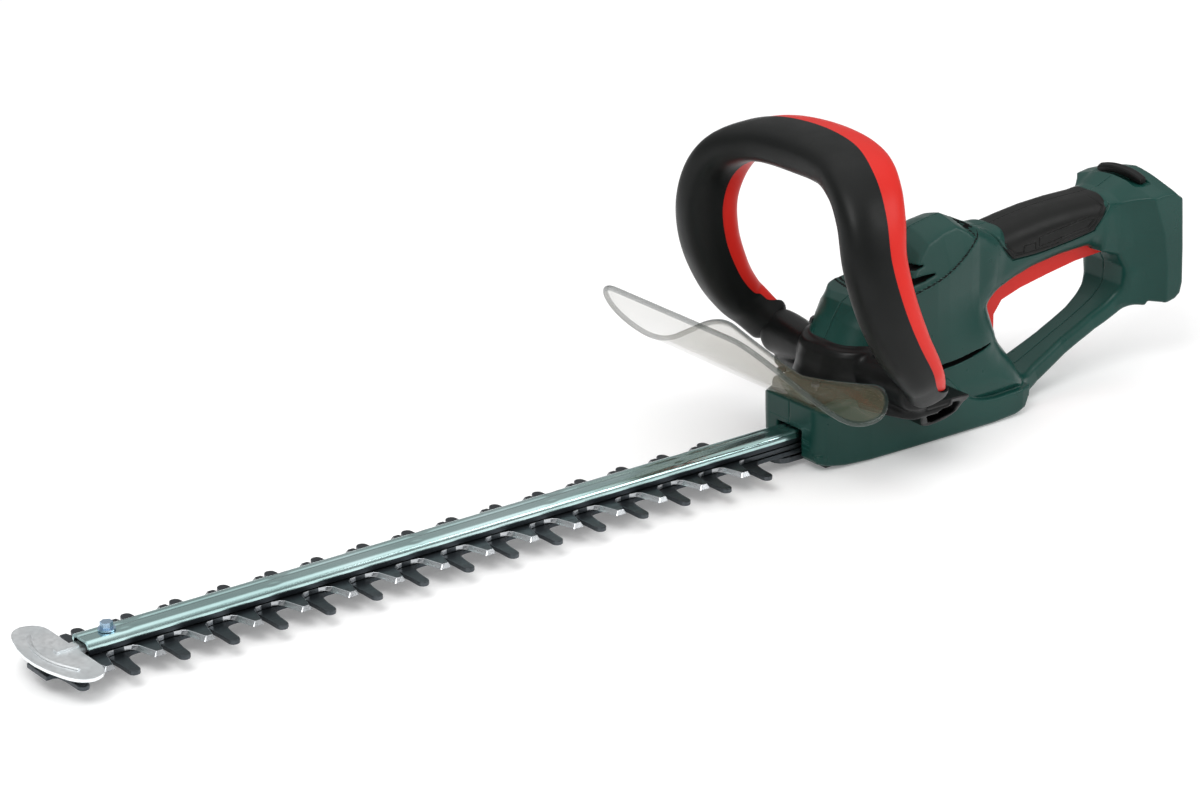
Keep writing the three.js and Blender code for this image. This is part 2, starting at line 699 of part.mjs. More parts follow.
function addGuard() {
  const [slices, across] = [20, 16];
  const skin = (around, along, target) => {
    const row = Math.round(along * (across + 2));
    const closing = row === 0 || row === across + 2;
    const y = GUARD_HALF * Math.sin((THREE.MathUtils.clamp((row - 1) / across, 0, 1) - 0.5) * Math.PI);
    const step = Math.round(around * slices) % slices;
    const half = slices / 2;
    const top = step < half;
    const share = closing ? 0.5 : top ? step / (half - 1) : (slices - 1 - step) / (half - 1);
    const [front, rear] = guardEdges(y);
    const x = THREE.MathUtils.lerp(front, rear, share);
    const slant = (guardHeight(x + 1, y) - guardHeight(x - 1, y)) / 2;
    const lift = closing ? 0 : (top ? 0.5 : -0.5) * GUARD_SHEET;
    const length = Math.hypot(1, slant);
    return target.set(x - (lift * slant) / length, y, guardHeight(x, y) + lift / length);
  };
  const sheet = solid(new ParametricGeometry(skin, slices, across + 2));
  const screwPoints = [-18, 18].map((y) => [-45, y]);
  const holes = screwPoints.map(([x, y]) => join(bar(x, y, 40, 60, 1.9, 8), bar(x, y, 57, 70, 3.6, 10)));
  add("hand_guard", cut(sheet, ...holes), SMOKE);
  screwPoints.forEach(([x, y], i) => {
    const screw = join(bar(x, y, 46, 58, 1.3, 8), bar(x, y, 57 + GAP, 59.4, 3.2, 10));
    add(i === 0 ? "guard_screw_left" : "guard_screw_right", screw, STEEL);
  });
}

// ---- rear handle --------------------------------------------------------------------------------------
function addGrips() {
  const lower = [[113, 130], [122, 118], [140, 107], [204, 107], [214, 122]];
  const outline = shapeOf([[112, 150], ...lower, [210, 150]]);
  const over = loft(acrossX(GRIP, 1.6), 3, 20).intersect(profile(outline, -40, 40));
  const pad = cut(over, body(GAP), loft(acrossX(GRIP, GAP), 3, 20));
  add("grip_pad_left", cut(pad, box(100, 230, -GAP / 2, 60, 60, 160)), RUBBER);
  add("grip_pad_right", cut(pad, box(100, 230, -60, GAP / 2, 60, 160)), RUBBER);
}

function addTrigger() {
  const [pivotX, pivotZ] = TRIGGER_PIVOT;
  const strip = profile(band(triggerLine, 0, TRIGGER_THICK), -TRIGGER_HALF, TRIGGER_HALF);
  const eye = crossBar(pivotX, pivotZ, -TRIGGER_HALF, TRIGGER_HALF, 4.6, 16);
  const hole = crossBar(pivotX, pivotZ, -20, 20, 2.1, 16);
  const post = box(150, 154, -3, 3, 94, 110);
  add("trigger", cut(join(strip, eye, post), hole), RED);
  add("trigger_pin", crossBar(pivotX, pivotZ, -10, 10, 1.9, 16), STEEL);
  const coil = cut(crossBar(pivotX, pivotZ, 6, 9.5, 4.6, 16), crossBar(pivotX, pivotZ, 4, 12, 2.4, 16));
  add("trigger_spring", coil, STEEL);
  const plunger = bar(152, 0, 119.5, 124, 2, 10);
  add("trigger_switch", join(box(142, 172, -7, 7, 122, 132), plunger), BLACK);
}

function addLatch() {
  const outline = new THREE.Shape();
  outline.moveTo(-23, 141);
  outline.quadraticCurveTo(0, 145, 23, 141);
  outline.lineTo(24, 145.8);
  outline.quadraticCurveTo(0, 150.4, -24, 145.8);
  outline.lineTo(-23, 141);
  const geometry = new THREE.ExtrudeGeometry(outline, { depth: 8, bevelEnabled: false, curveSegments: 10 });
  geometry.rotateX(Math.PI / 2).rotateZ(Math.PI / 2).translate(LATCH_X - 4, 0, 0);
  const tab = solid(geometry);
  const stem = box(LATCH_X - 3, LATCH_X + 3, -11, 11, 128, 147);
  const above = loft(acrossX(BAY, GAP), 6, 20);
  const top = cut(tab, cut(above, box(LATCH_X - 9, LATCH_X + 5, -14, 14, 125, 150)));
  add("battery_latch", join(top, stem), BLACK);
}

// ---- electrics ----------------------------------------------------------------------------------------
function addElectrics() {
  add("bail_switch", join(box(-22, -4, -7, 7, 58, 70), bar(-13, 0, 69, 72, 2, 10)), BLACK);
  const board = box(60, 102, -20, 20, 58, 60);
  add("control_board", board, BOARD);
  const fins = [0, 1, 2, 3].map((i) => box(66 + i * 9, 69 + i * 9, -14, 14, 61, 72));
  add("heat_sink", join(box(64, 100, -14, 14, 60 + GAP, 62.5), ...fins), STEEL);
  const block = box(256 + GAP, 265, -16, 16, 86, 122);
  const slots = [-9, 0, 9].map((y) => box(262, 266, y - 0.9, y + 0.9, 90, 118));
  add("terminal_block", cut(block, ...slots), BLACK);
  ["minus", "data", "plus"].forEach((name, i) => {
    const y = -9 + 9 * i;
    add(`terminal_${name}`, box(262 + GAP, 271, y - 0.5, y + 0.5, 92, 116), BRASS);
  });
}

// ---- assembly -----------------------------------------------------------------------------------------
addCutterBar();
addTipGuard();
addHousing();
addDrive();
addBladeSupport();
addBail();
addSaddle();
addGuard();
addGrips();
addTrigger();
addLatch();
addElectrics();

export default group;
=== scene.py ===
"""A cordless hedge trimmer: the looks of each piece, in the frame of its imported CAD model.

Lengths in the tables are in millimetres, in the model's own frame: the origin is on the crank's axis at
the flat underside, the cutter bar runs along -X, the battery bay is at +X and +Z is up.
"""

# fmt: off
import math

import bpy
import numpy as np
from mathutils import Matrix, Vector


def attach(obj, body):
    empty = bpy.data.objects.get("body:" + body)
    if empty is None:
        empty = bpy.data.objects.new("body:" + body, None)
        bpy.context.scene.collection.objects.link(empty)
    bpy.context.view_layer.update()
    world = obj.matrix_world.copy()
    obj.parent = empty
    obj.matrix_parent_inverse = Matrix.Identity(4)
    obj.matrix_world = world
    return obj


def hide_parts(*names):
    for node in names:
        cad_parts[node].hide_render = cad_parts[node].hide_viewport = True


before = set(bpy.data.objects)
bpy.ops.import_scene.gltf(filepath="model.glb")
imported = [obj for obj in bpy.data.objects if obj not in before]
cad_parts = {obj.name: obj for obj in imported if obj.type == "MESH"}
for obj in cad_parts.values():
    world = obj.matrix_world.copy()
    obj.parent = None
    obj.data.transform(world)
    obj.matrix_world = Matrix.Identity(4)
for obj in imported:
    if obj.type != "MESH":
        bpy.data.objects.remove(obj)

MM = 0.001
CORNERS = [(a, b, c) for a in (0, 1) for b in (0, 1) for c in (0, 1)]
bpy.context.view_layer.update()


# ---- small helpers ----
def smoothstep(low, high, value):
    t = np.clip((value - low) / (high - low), 0.0, 1.0)
    return t * t * (3 - 2 * t)


def blend(low, high, value, at_low, at_high):
    t = smoothstep(low, high, value)
    return at_low * (1 - t) + at_high * t


def soft_min(a, b, size):
    h = np.clip(0.5 + 0.5 * (b - a) / size, 0.0, 1.0)
    return b * (1 - h) + a * h - size * h * (1 - h)


def soft_max(a, b, size):
    return -soft_min(-a, -b, size)


def table(rows, value):
    """Values between the rows (place, value), held beyond the ends."""
    places, values = zip(*rows)
    return np.interp(value, places, values)


def flowing(points, steps=8, closed=False):
    """A smooth line through the points."""
    points = np.asarray(points, float)
    count = len(points)
    out = []
    for i in range(count if closed else count - 1):
        if closed:
            p0, p1, p2, p3 = (points[(i + k) % count] for k in (-1, 0, 1, 2))
        else:
            p0, p1, p2, p3 = (points[min(max(i + k, 0), count - 1)] for k in (-1, 0, 1, 2))
        for t in np.linspace(0, 1, steps, endpoint=False):
            a = 2 * p1 + (p2 - p0) * t
            b = (2 * p0 - 5 * p1 + 4 * p2 - p3) * t * t
            c = (-p0 + 3 * p1 - 3 * p2 + p3) * t**3
            out.append((a + b + c) / 2)
    if not closed:
        out.append(points[-1])
    return np.array(out)


def line_distance(points, x, z):
    """Distance from each place to a line, and how far along the line its nearest point is, from 0 to 1."""
    points = np.asarray(points, float)
    lengths = np.hypot(*(points[1:] - points[:-1]).T)
    starts = np.concatenate([[0], np.cumsum(lengths)])
    best = np.full(np.broadcast(x, z).shape, 1e9)
    along = np.zeros_like(best)
    for (ax, az), (bx, bz), start, length in zip(points[:-1], points[1:], starts, lengths):
        dx, dz = bx - ax, bz - az
        t = np.clip(((x - ax) * dx + (z - az) * dz) / max(length**2, 1e-9), 0, 1)
        gap = np.hypot(x - ax - t * dx, z - az - t * dz)
        nearer = gap < best
        best = np.where(nearer, gap, best)
        along = np.where(nearer, (start + t * length) / starts[-1], along)
    return best, along


def outline_distance(points, x, z):
    """Signed distance to a closed outline, negative inside."""
    points = np.asarray(points, float)
    ring = np.vstack([points, points[:1]])
    gap, _ = line_distance(ring, x, z)
    inside = np.zeros(gap.shape, bool)
    for (ax, az), (bx, bz) in zip(ring[:-1], ring[1:]):
        if az == bz:
            continue
        crosses = (z < max(az, bz)) & (z >= min(az, bz))
        inside ^= crosses & (x < ax + (z - az) / (bz - az) * (bx - ax))
    return np.where(inside, -gap, gap)


# ---- moulded pieces as fields ----
class Grid:
    """A block of sample places. A piece is a field over it, negative inside the piece."""

    def __init__(self, low, high, step):
        self.low = np.asarray(low, float)
        self.step = step
        self.axes = [np.arange(a, b + step, step) for a, b in zip(low, high)]
        self.x = self.axes[0][:, None]
        self.z = self.axes[2][None, :]
        self.y = self.axes[1][None, :, None]
        self.away = np.abs(self.y)

    def slab(self, outline, half, radius):
        """A body with a side outline (a 2-D distance), a half width at each place, and rounded edges."""
        slopes = np.gradient(half + 0 * self.x * self.z, self.step)
        stretch = np.sqrt(1 + slopes[0] ** 2 + slopes[1] ** 2)[:, None, :]
        r = (radius + 0 * self.x * self.z)[:, None, :]
        u = outline[:, None, :] + r
        v = (self.away - (half + 0 * self.x * self.z)[:, None, :]) / stretch + r
        return np.minimum(np.maximum(u, v), 0) + np.hypot(np.maximum(u, 0), np.maximum(v, 0)) - r

    def reach(self, field):
        """How far each place's solid reaches from the middle plane."""
        inside = field < 0
        first = np.argmax(inside, axis=1)
        first = np.clip(first, 1, field.shape[1] - 1)
        i, k = np.meshgrid(np.arange(field.shape[0]), np.arange(field.shape[2]), indexing="ij")
        f0 = field[i, first - 1, k]
        f1 = field[i, first, k]
        t = np.clip(f0 / np.where(f0 == f1, 1, f0 - f1), 0, 1)
        y = self.axes[1][first - 1] + t * self.step
        return np.where(inside.any(axis=1), np.abs(y), 0)

    def groove(self, field, reach, gap, width, depth):
        """Cuts a groove to each side of a line, given the distance to the line."""
        cut = np.maximum((gap - width)[:, None, :], (reach - depth)[:, None, :] - self.away)
        return np.maximum(field, -cut)

    def skin(self, field):
        """Vertices and quads of the surface where the field is zero."""
        inside = field < 0
        nx, ny, nz = field.shape
        count = np.zeros((nx - 1, ny - 1, nz - 1), np.int8)
        for a, b, c in CORNERS:
            count += inside[a : nx - 1 + a, b : ny - 1 + b, c : nz - 1 + c]
        cells = np.argwhere((count > 0) & (count < 8))
        index = np.full(count.shape, -1, np.int32)
        index[tuple(cells.T)] = np.arange(len(cells))
        total = np.zeros((len(cells), 3))
        hits = np.zeros(len(cells))
        for start in CORNERS:
            for axis in range(3):
                if start[axis]:
                    continue
                end = np.array(start)
                end[axis] = 1
                f0 = field[tuple((cells + start).T)]
                f1 = field[tuple((cells + end).T)]
                crossed = (f0 < 0) != (f1 < 0)
                t = np.where(crossed, f0 / np.where(crossed, f0 - f1, 1), 0)
                place = np.tile(np.array(start, float), (len(cells), 1))
                place[:, axis] = t
                total[crossed] += place[crossed]
                hits[crossed] += 1
        places = cells + total / hits[:, None]
        quads = []
        for axis in range(3):
            b, c = (axis + 1) % 3, (axis + 2) % 3
            here = [slice(1, -1)] * 3
            there = [slice(1, -1)] * 3
            here[axis] = slice(0, -1)
            there[axis] = slice(1, None)
            s0, s1 = inside[tuple(here)], inside[tuple(there)]
            base = np.argwhere(s0 != s1)
            base[:, b] += 1
            base[:, c] += 1
            outward = s0[s0 != s1]
            ring = []
            for db, dc in ((-1, -1), (0, -1), (0, 0), (-1, 0)):
                cell = base.copy()
                cell[:, b] += db
                cell[:, c] += dc
                ring.append(index[tuple(cell.T)])
            ring = np.stack(ring, axis=1)
            ring[~outward] = ring[~outward][:, ::-1]
            quads.append(ring)
        places = self._settled(field, places)
        return self.low + places * self.step, np.vstack(quads)

    def _settled(self, field, places):
        """Moves each vertex onto the surface along the field's slope."""
        top = np.array(field.shape) - 1.001
        for _ in range(2):
            value, slope = self._sample(field, np.clip(places, 0, top))
            steep = np.maximum((slope**2).sum(axis=1), 0.2 * self.step**2)
            shift = np.clip(-(value / steep)[:, None] * slope, -0.4, 0.4)
            places = places + 0.8 * shift
        return places

    @staticmethod
    def _sample(field, places):
        base = places.astype(int)
        t = places - base
        value = np.zeros(len(places))
        slope = np.zeros((len(places), 3))
        for corner in CORNERS:
            f = field[tuple((base + corner).T)]
            shares = [t[:, n] if corner[n] else 1 - t[:, n] for n in range(3)]
            value += f * shares[0] * shares[1] * shares[2]
            for n in range(3):
                others = [shares[m] for m in range(3) if m != n]
                slope[:, n] += (1 if corner[n] else -1) * f * others[0] * others[1]
        return value, slope


def piece(name, places, faces, material, body, replaces, slot, smooth=True):
    """A mesh object, in millimetres, that rides on a body."""
    mesh = bpy.data.meshes.new(name)
    mesh.from_pydata((np.asarray(places, float) * MM).tolist(), [], [list(map(int, f)) for f in faces])
    mesh.validate()
    mesh.update()
    for m in material if isinstance(material, list) else [material]:
        mesh.materials.append(m)
    if smooth:
        mesh.shade_smooth()
    obj = bpy.data.objects.new(name, mesh)
    bpy.context.scene.collection.objects.link(obj)
    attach(obj, body)
    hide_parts(*replaces)
    return obj


def both_sides(places, faces):
    """The skin of the near half, and its mirror image for the far half."""
    yield "left", places, faces
    yield "right", places * (1, -1, 1), faces[:, ::-1]


def quads(count, size):
    """The quads of a sheet of places: count rows of a size."""
    for i in range(count - 1):
        for a in range(i * size, (i + 1) * size - 1):
            yield a, a + 1, a + size + 1, a + size


def bevel(obj, width, segments, angle):
    modifier = obj.modifiers.new("edges", "BEVEL")
    modifier.width = width * MM
    modifier.segments = segments
    modifier.limit_method = "ANGLE"
    modifier.angle_limit = math.radians(angle)


def auto_smooth(obj, angle):
    obj.data.set_sharp_from_angle(angle=math.radians(angle))


# ---- materials ----
def fill_ramp(node, stops):
    elements = node.color_ramp.elements
    while len(elements) < len(stops):
        elements.new(0.5)
    for element, (place, color) in zip(elements, stops):
        element.position = place
        element.color = (*color, 1)


class Maker:
    """Builds one procedural material, node by node."""

    def __init__(self, name):
        self.material = bpy.data.materials.new(name)
        self.material.use_nodes = True
        self.tree = self.material.node_tree
        self.shader = self.tree.nodes["Principled BSDF"]
        self.place = self.node("ShaderNodeTexCoord").outputs["Object"]

    def node(self, kind, **settings):
        made = self.tree.nodes.new(kind)
        for key, value in settings.items():
            setattr(made, key, value)
        return made

    def link(self, source, target):
        self.tree.links.new(source, target)

    def noise(self, scale, detail=3.0, rough=0.5, stretch=(1, 1, 1)):
        mapping = self.node("ShaderNodeMapping")
        mapping.inputs["Scale"].default_value = stretch
        self.link(self.place, mapping.inputs["Vector"])
        made = self.node("ShaderNodeTexNoise")
        made.inputs["Scale"].default_value = scale
        made.inputs["Detail"].default_value = detail
        made.inputs["Roughness"].default_value = rough
        self.link(mapping.outputs["Vector"], made.inputs["Vector"])
        return made.outputs["Fac"]

    def ramp(self, source, stops):
        made = self.node("ShaderNodeValToRGB")
        fill_ramp(made, stops)
        self.link(source, made.inputs["Fac"])
        return made.outputs["Color"]

    def levels(self, source, low, high, from_low=0.3, from_high=0.7):
        made = self.node("ShaderNodeMapRange")
        made.inputs["From Min"].default_value = from_low
        made.inputs["From Max"].default_value = from_high
        made.inputs["To Min"].default_value = low
        made.inputs["To Max"].default_value = high
        self.link(source, made.inputs["Value"])
        return made.outputs["Result"]

    def mix(self, share, a, b):
        made = self.node("ShaderNodeMix", data_type="RGBA")
        for source, target in ((share, made.inputs[0]), (a, made.inputs[6]), (b, made.inputs[7])):
            if isinstance(source, tuple):
                target.default_value = (*source, 1)
            else:
                self.link(source, target)
        return made.outputs[2]

    def edge_share(self, low=0.52, high=0.6):
        """Where an edge stands out, from 0 to 1."""
        geometry = self.node("ShaderNodeNewGeometry")
        return self.levels(geometry.outputs["Pointiness"], 0.0, 1.0, low, high)

    def bump(self, *layers):
        """Stacks bumps, each (height, strength, distance in millimetres)."""
        normal = None
        for height, strength, distance in layers:
            made = self.node("ShaderNodeBump")
            made.inputs["Strength"].default_value = strength
            made.inputs["Distance"].default_value = distance * MM
            self.link(height, made.inputs["Height"])
            if normal:
                self.link(normal, made.inputs["Normal"])
            normal = made.outputs["Normal"]
        self.link(normal, self.shader.inputs["Normal"])

    def set(self, **values):
        for key, value in values.items():
            self.shader.inputs[key.replace("_", " ")].default_value = value


def moulded(name, dark, light, roughness=0.42, grain=0.25, grain_scale=1400.0, painted_sheen=0.25, gloss=0.2):
    """Spark-eroded plastic: a fine grain, slow changes of tone, and a painted highlight: a paler painted
    sheen on its edges.
    """
    m = Maker(name)
    cloud = m.noise(14.0, 3.0)
    fine = m.noise(grain_scale, 2.0, 0.6)
    color = m.ramp(cloud, [(0.3, dark), (0.7, light)])
    # Painted highlight: the edges are painted a paler colour, standing in for their sheen.
    painted_sheen_color = tuple(min(1.0, c * 1.5 + 0.012) for c in light)
    share = m.levels(m.edge_share(), 0.0, painted_sheen, 0.0, 1.0)
    m.link(m.mix(share, color, painted_sheen_color), m.shader.inputs["Base Color"])
    m.link(m.levels(m.noise(60.0, 4.0), roughness - 0.05, roughness + 0.07), m.shader.inputs["Roughness"])
    m.bump((fine, grain, 0.12), (m.noise(190.0, 3.0), 0.06, 0.3))
    m.set(IOR=1.46, Specular_IOR_Level=gloss)
    return m.material


def metal(name, dark, light, roughness, scratches=0.2, stretch=(0.08, 1, 1), scale=500.0, bump=0.15):
    """Metal with fine drawn lines along X, smudges in its gloss, and brighter edges."""
    m = Maker(name)
    drawn = m.noise(scale, 4.0, 0.65, stretch)
    smudge = m.noise(34.0, 4.0)
    color = m.ramp(smudge, [(0.3, dark), (0.7, light)])
    bright = tuple(min(1.0, c * 1.25 + 0.05) for c in light)
    share = m.levels(m.edge_share(0.51, 0.58), 0.0, 0.55, 0.0, 1.0)
    m.link(m.mix(share, color, bright), m.shader.inputs["Base Color"])
    dull = m.levels(drawn, roughness - scratches * 0.3, roughness + scratches * 0.5)
    m.link(dull, m.shader.inputs["Roughness"])
    m.bump((drawn, bump, 0.03), (smudge, 0.05, 0.4))
    m.set(Metallic=1.0)
    return m.material


GREEN = moulded("green_plastic", (0.005, 0.042, 0.034), (0.008, 0.054, 0.044), 0.32, 0.3, 1500.0, 0.2, 0.28)
BLACK = moulded("black_plastic", (0.004, 0.0045, 0.0045), (0.006, 0.0066, 0.0064), 0.34, 0.30, 1500.0, 0.15)
SOFT_BLACK = moulded(
    "black_soft_grip", (0.005, 0.0057, 0.0055), (0.008, 0.0088, 0.0085), 0.38, 0.35, 1700.0, 0.1
)
RUBBER = moulded("grip_rubber", (0.005, 0.0054, 0.005), (0.008, 0.0085, 0.008), 0.4, 0.4, 1300.0, 0.3)
RED = moulded("red_plastic", (0.60, 0.016, 0.010), (0.68, 0.021, 0.014), 0.36, 0.22, 1500.0, 0.1, 0.25)
# Near black painted into hollows: painted shade on the floors of the slots and vents and inside the saddle's
# pocket hole, and the dark joint line along the seam.
PAINTED_SHADE_AND_JOINT = moulded("painted_shade_and_joint_line", (0.001, 0.001, 0.001), (0.002, 0.002, 0.002), 0.8, 0.1, 900.0, 0.0)
STEEL = metal("plain_steel", (0.5, 0.52, 0.54), (0.66, 0.68, 0.7), 0.3)
BLACK_STEEL = metal("black_screw_steel", (0.03, 0.03, 0.03), (0.06, 0.06, 0.06), 0.4)
BLUE_STEEL = metal("blue_zinc", (0.28, 0.42, 0.58), (0.45, 0.6, 0.74), 0.25)
GUNMETAL = metal("dark_blade_steel", (0.030, 0.036, 0.042), (0.060, 0.070, 0.078), 0.36, 0.25)
GROUND = metal(
    "ground_edge_steel", (0.30, 0.32, 0.33), (0.52, 0.54, 0.56), 0.28, 0.2, (1, 0.1, 1), 900.0, 0.08
)
BRASS = metal("brass", (0.52, 0.36, 0.14), (0.7, 0.5, 0.22), 0.3)
BOARD = moulded("lacquered_board", (0.01, 0.1, 0.03), (0.02, 0.15, 0.05), 0.3, 0.1, 700.0, 0.1)


def zinc_sheet():
    """Bright plated sheet with the faint spangle and cloudy blue-green tint of its passivation."""
    m = Maker("bright_zinc")
    smudge = m.noise(26.0, 5.0, 0.6, (0.35, 1, 1))
    color = m.ramp(smudge, [(0.25, (0.40, 0.60, 0.59)), (0.5, (0.52, 0.72, 0.71)), (0.8, (0.66, 0.82, 0.83))])
    m.link(color, m.shader.inputs["Base Color"])
    drawn = m.noise(260.0, 4.0, 0.6, (0.05, 1, 1))
    m.link(m.levels(drawn, 0.12, 0.26), m.shader.inputs["Roughness"])
    m.bump((drawn, 0.1, 0.04), (m.noise(70.0, 3.0, 0.5, (0.5, 1, 1)), 0.16, 0.35))
    m.set(Metallic=1.0)
    return m.material


def silver_sheet():
    """Bare aluminium, dulled a little."""
    m = Maker("silver_sheet")
    smudge = m.noise(30.0, 4.0)
    color = m.ramp(smudge, [(0.3, (0.84, 0.89, 0.91)), (0.7, (0.95, 0.97, 0.98))])
    m.link(color, m.shader.inputs["Base Color"])
    m.link(m.levels(m.noise(420.0, 4.0), 0.3, 0.45), m.shader.inputs["Roughness"])
    m.bump((m.noise(300.0, 4.0), 0.12, 0.06), (smudge, 0.1, 0.5))
    m.set(Metallic=1.0)
    return m.material


def smoked_sheet():
    """Clear smoked plastic: it darkens what is behind it a little at each face, more at its thick rim."""
    m = Maker("smoked_sheet")
    cloud = m.noise(9.0, 3.0)
    color = m.ramp(cloud, [(0.3, (0.21, 0.195, 0.12)), (0.7, (0.25, 0.23, 0.15))])
    rim = m.node("ShaderNodeAttribute", attribute_name="rim")
    m.link(m.mix(rim.outputs["Fac"], color, (0.03, 0.045, 0.04)), m.shader.inputs["Base Color"])
    m.link(m.levels(rim.outputs["Fac"], 0.21, 0.62, 0.0, 1.0), m.shader.inputs["Alpha"])
    m.link(m.levels(m.noise(240.0, 3.0), 0.05, 0.11), m.shader.inputs["Roughness"])
    m.bump((m.noise(26.0, 2.0), 0.05, 0.4))
    m.set(IOR=1.5)
    return m.material


ZINC = zinc_sheet()
SILVER = silver_sheet()
SMOKE = smoked_sheet()


# ---- housing ----
# Outlines and lines are seen from the side: (x, z). The HALF tables give a half width at an x.
SPLIT = 0.12  # each half stops this far from the middle plane
TUB_OUTLINE = [
    (-53, 8), (-51.5, 5.5), (-45, 3), (-30, 0.6), (-10, 0), (100, 0), (121, 1), (131, 4), (134, 10),
    (134.5, 20), (122, 18.8), (102, 18.6), (92, 19.6), (84, 21.6), (77, 24.4), (71, 28.5), (66, 33),
    (61, 38.6), (56, 43.6), (48, 46.6), (36, 47.6), (-10, 47.6), (-46, 45.4), (-53, 43.4),
]
TOWER_OUTLINE = [
    (-38, 10), (-37.5, 40), (-35.5, 55), (-31, 66), (-23, 80), (-16, 93), (-9, 103), (-3, 106), (8, 113),
    (31, 131), (42, 141), (50, 146.2), (65, 149.5), (77.5, 151), (86, 147), (92, 142), (98, 138),
    (105, 134), (112, 131), (120, 130), (120, 98), (115, 90), (113.5, 80), (115, 66), (117, 58), (121, 51),
    (127, 43.5), (133, 35.5), (138, 27), (143, 18), (140, 8), (-34, 8),
]
GRIP_OUTLINE = [
    (95, 126), (112, 129.2), (125, 130.6), (140, 132.8), (161, 135), (185, 135.8), (208, 135.4), (224, 136),
    (242, 142), (242, 92), (228, 91), (216, 96.5), (204, 99), (178, 98), (152, 94.5), (135, 90), (122, 85.5),
    (112, 80), (95, 80),
]
BAY_OUTLINE = [
    (214, 132), (225, 136), (233, 140), (241, 143.6), (252, 145), (262, 144.6), (267.5, 140), (270.3, 128),
    (272.6, 92), (273.4, 66), (271.4, 57.6), (266.5, 54), (260, 52.6), (249.8, 53.4), (248.2, 50.2),
    (238, 51), (233, 53.5), (235.5, 66), (233.5, 80), (228, 90), (212, 96),
]
STRUT_LINE = [
    (112, 8), (132, 10), (150, 14.5), (166, 21), (188, 31), (212, 41.5), (228, 50), (240, 60), (246, 70),
]
# The THICK tables, and STRUT_HALF, go by the share of the way along their line.
STRUT_THICK = [(0, 8), (0.3, 7.2), (0.6, 6.6), (0.8, 7), (0.92, 8.5), (1, 11)]
STRUT_HALF = [(0, 28), (0.16, 22), (0.3, 16), (0.5, 13.5), (0.7, 14), (0.86, 18), (1, 24)]
SEAM_LINE = [
    (-12, 108), (10, 107), (33, 109.4), (50, 112.4), (65, 116.8), (79, 123.6), (90, 131.5), (96, 139),
]
SLOT_LINE = [(20, 50.2), (60, 51.6), (78, 53.6), (98, 57.4)]
VENT_LINES = [[(8, 131.5), (31, 131.4)], [(12, 122.5), (41.5, 124.4)], [(16, 114.6), (50, 117.4)]]
TRIGGER_LINE = [(124, 54), (124, 66), (131, 75), (148, 80), (174, 84.6), (200, 88.5), (229, 90.2)]
PAD_OUTLINE = [
    (101, 136), (110, 129.8), (119.5, 117.5), (126.5, 110), (131, 108.4), (160, 108.6), (199, 113),
    (205, 116), (215.2, 128), (216, 131.5), (210, 141), (160, 146), (110, 142),
]
TUB_HALF = [(-53, 30), (-46, 31.6), (-38, 33), (-10, 35.5), (30, 36.6), (104, 36.8), (126, 36), (135, 34)]
TOWER_HIGH_HALF = [
    (-40, 30.5), (0, 32), (31, 32.4), (50, 31.2), (62, 29.6), (74, 27.4), (86, 25), (95, 22.6),
    (112, 20.6),
]
TOWER_LOW_HALF = [(-40, 31), (0, 32.2), (60, 33), (104, 32.5), (140, 31)]
GRIP_HALF = [(92, 24), (112, 20.5), (135, 20), (165, 20), (205, 20.6), (226, 22.5), (242, 27)]
PAD_HALF = [(92, 24), (112, 21.2), (135, 20.8), (165, 20.8), (205, 21.4), (226, 23.3)]
# Where the bay starts to flare and where its flare ends, by height.
BAY_NECK_X = [(50, 234), (70, 234), (90, 228), (110, 222), (135, 217)]
BAY_EDGE_X = [(50, 257.5), (81, 257), (106, 253), (132, 243), (140, 238)]
SLOT_THICK = [(0, 2.0), (0.8, 1.8), (1, 0.7)]
VENT_THICK = [(0, 2.3), (0.7, 1.9), (1, 0.6)]
TOWER_RIDGE = [p for p in TOWER_OUTLINE if p[1] > 102]
BAY_RIDGE = [p for p in BAY_OUTLINE if p[1] > 135.5]
SLOT_DEPTH, VENT_DEPTH = 5.0, 6.0
SEAM_HALF, SEAM_DEPTH = 0.45, 0.8
PAD_GAP_HALF, PAD_GAP_DEPTH = 0.7, 1.6
TRIGGER_RACE, RACE_HALF = (-6, 27), 7.2  # how far it goes to each side of its line, and its half width
# Boxes for block(): x from and to, distance from the middle plane from and to, z from and to, edge.
BAY_MOUTH = (256, 290, -50, 35.5, 40, 134, 3.0)
TERMINAL_ROOM = (252, 262, -50, 24, 80, 122, 1.0)
BATTERY_RAIL = (265.6, 269.8, 29.8, 37, 66, 128, 1.0)
CUTS = [
    (-60, -40, -50, 12.8, -6, 25.9, 1.0),  # the nose, round the cutter bar
    (-60, -24, -50, 10, -6, 10, 1.0),  # the belly, under the cutter bar
    (-42.4, 96.4, -50, 25.4, -6, 3.3, 0.5),  # the belly, round the base cover
    (239.4, 252.5, -50, 25.5, 138.2, 155, 1.0),  # the roof, under the latch
]


def housing_widths(x, z):
    """Half widths of the tower, and of the crown over its seam, at each place."""
    high = table(TOWER_HIGH_HALF, x)
    low = table(TOWER_LOW_HALF, x)
    tower = high + (low - high) * (1 - smoothstep(58, 98, z))
    flare = 3.6 * np.clip((51 - z) / 27, 0, 1) ** 1.5 * smoothstep(20, 50, x)
    seam = table(SEAM_LINE, x)
    ridge = table(TOWER_RIDGE, x)
    flank = tower - 1.0 - 0.40 * (z - seam)
    facet = (ridge - z) / 0.46
    crown = soft_min(flank, facet, 3.0)
    above = smoothstep(-0.5, 0.5, z - seam)
    tower = tower + flare
    return tower * (1 - above) + np.minimum(crown, tower) * above


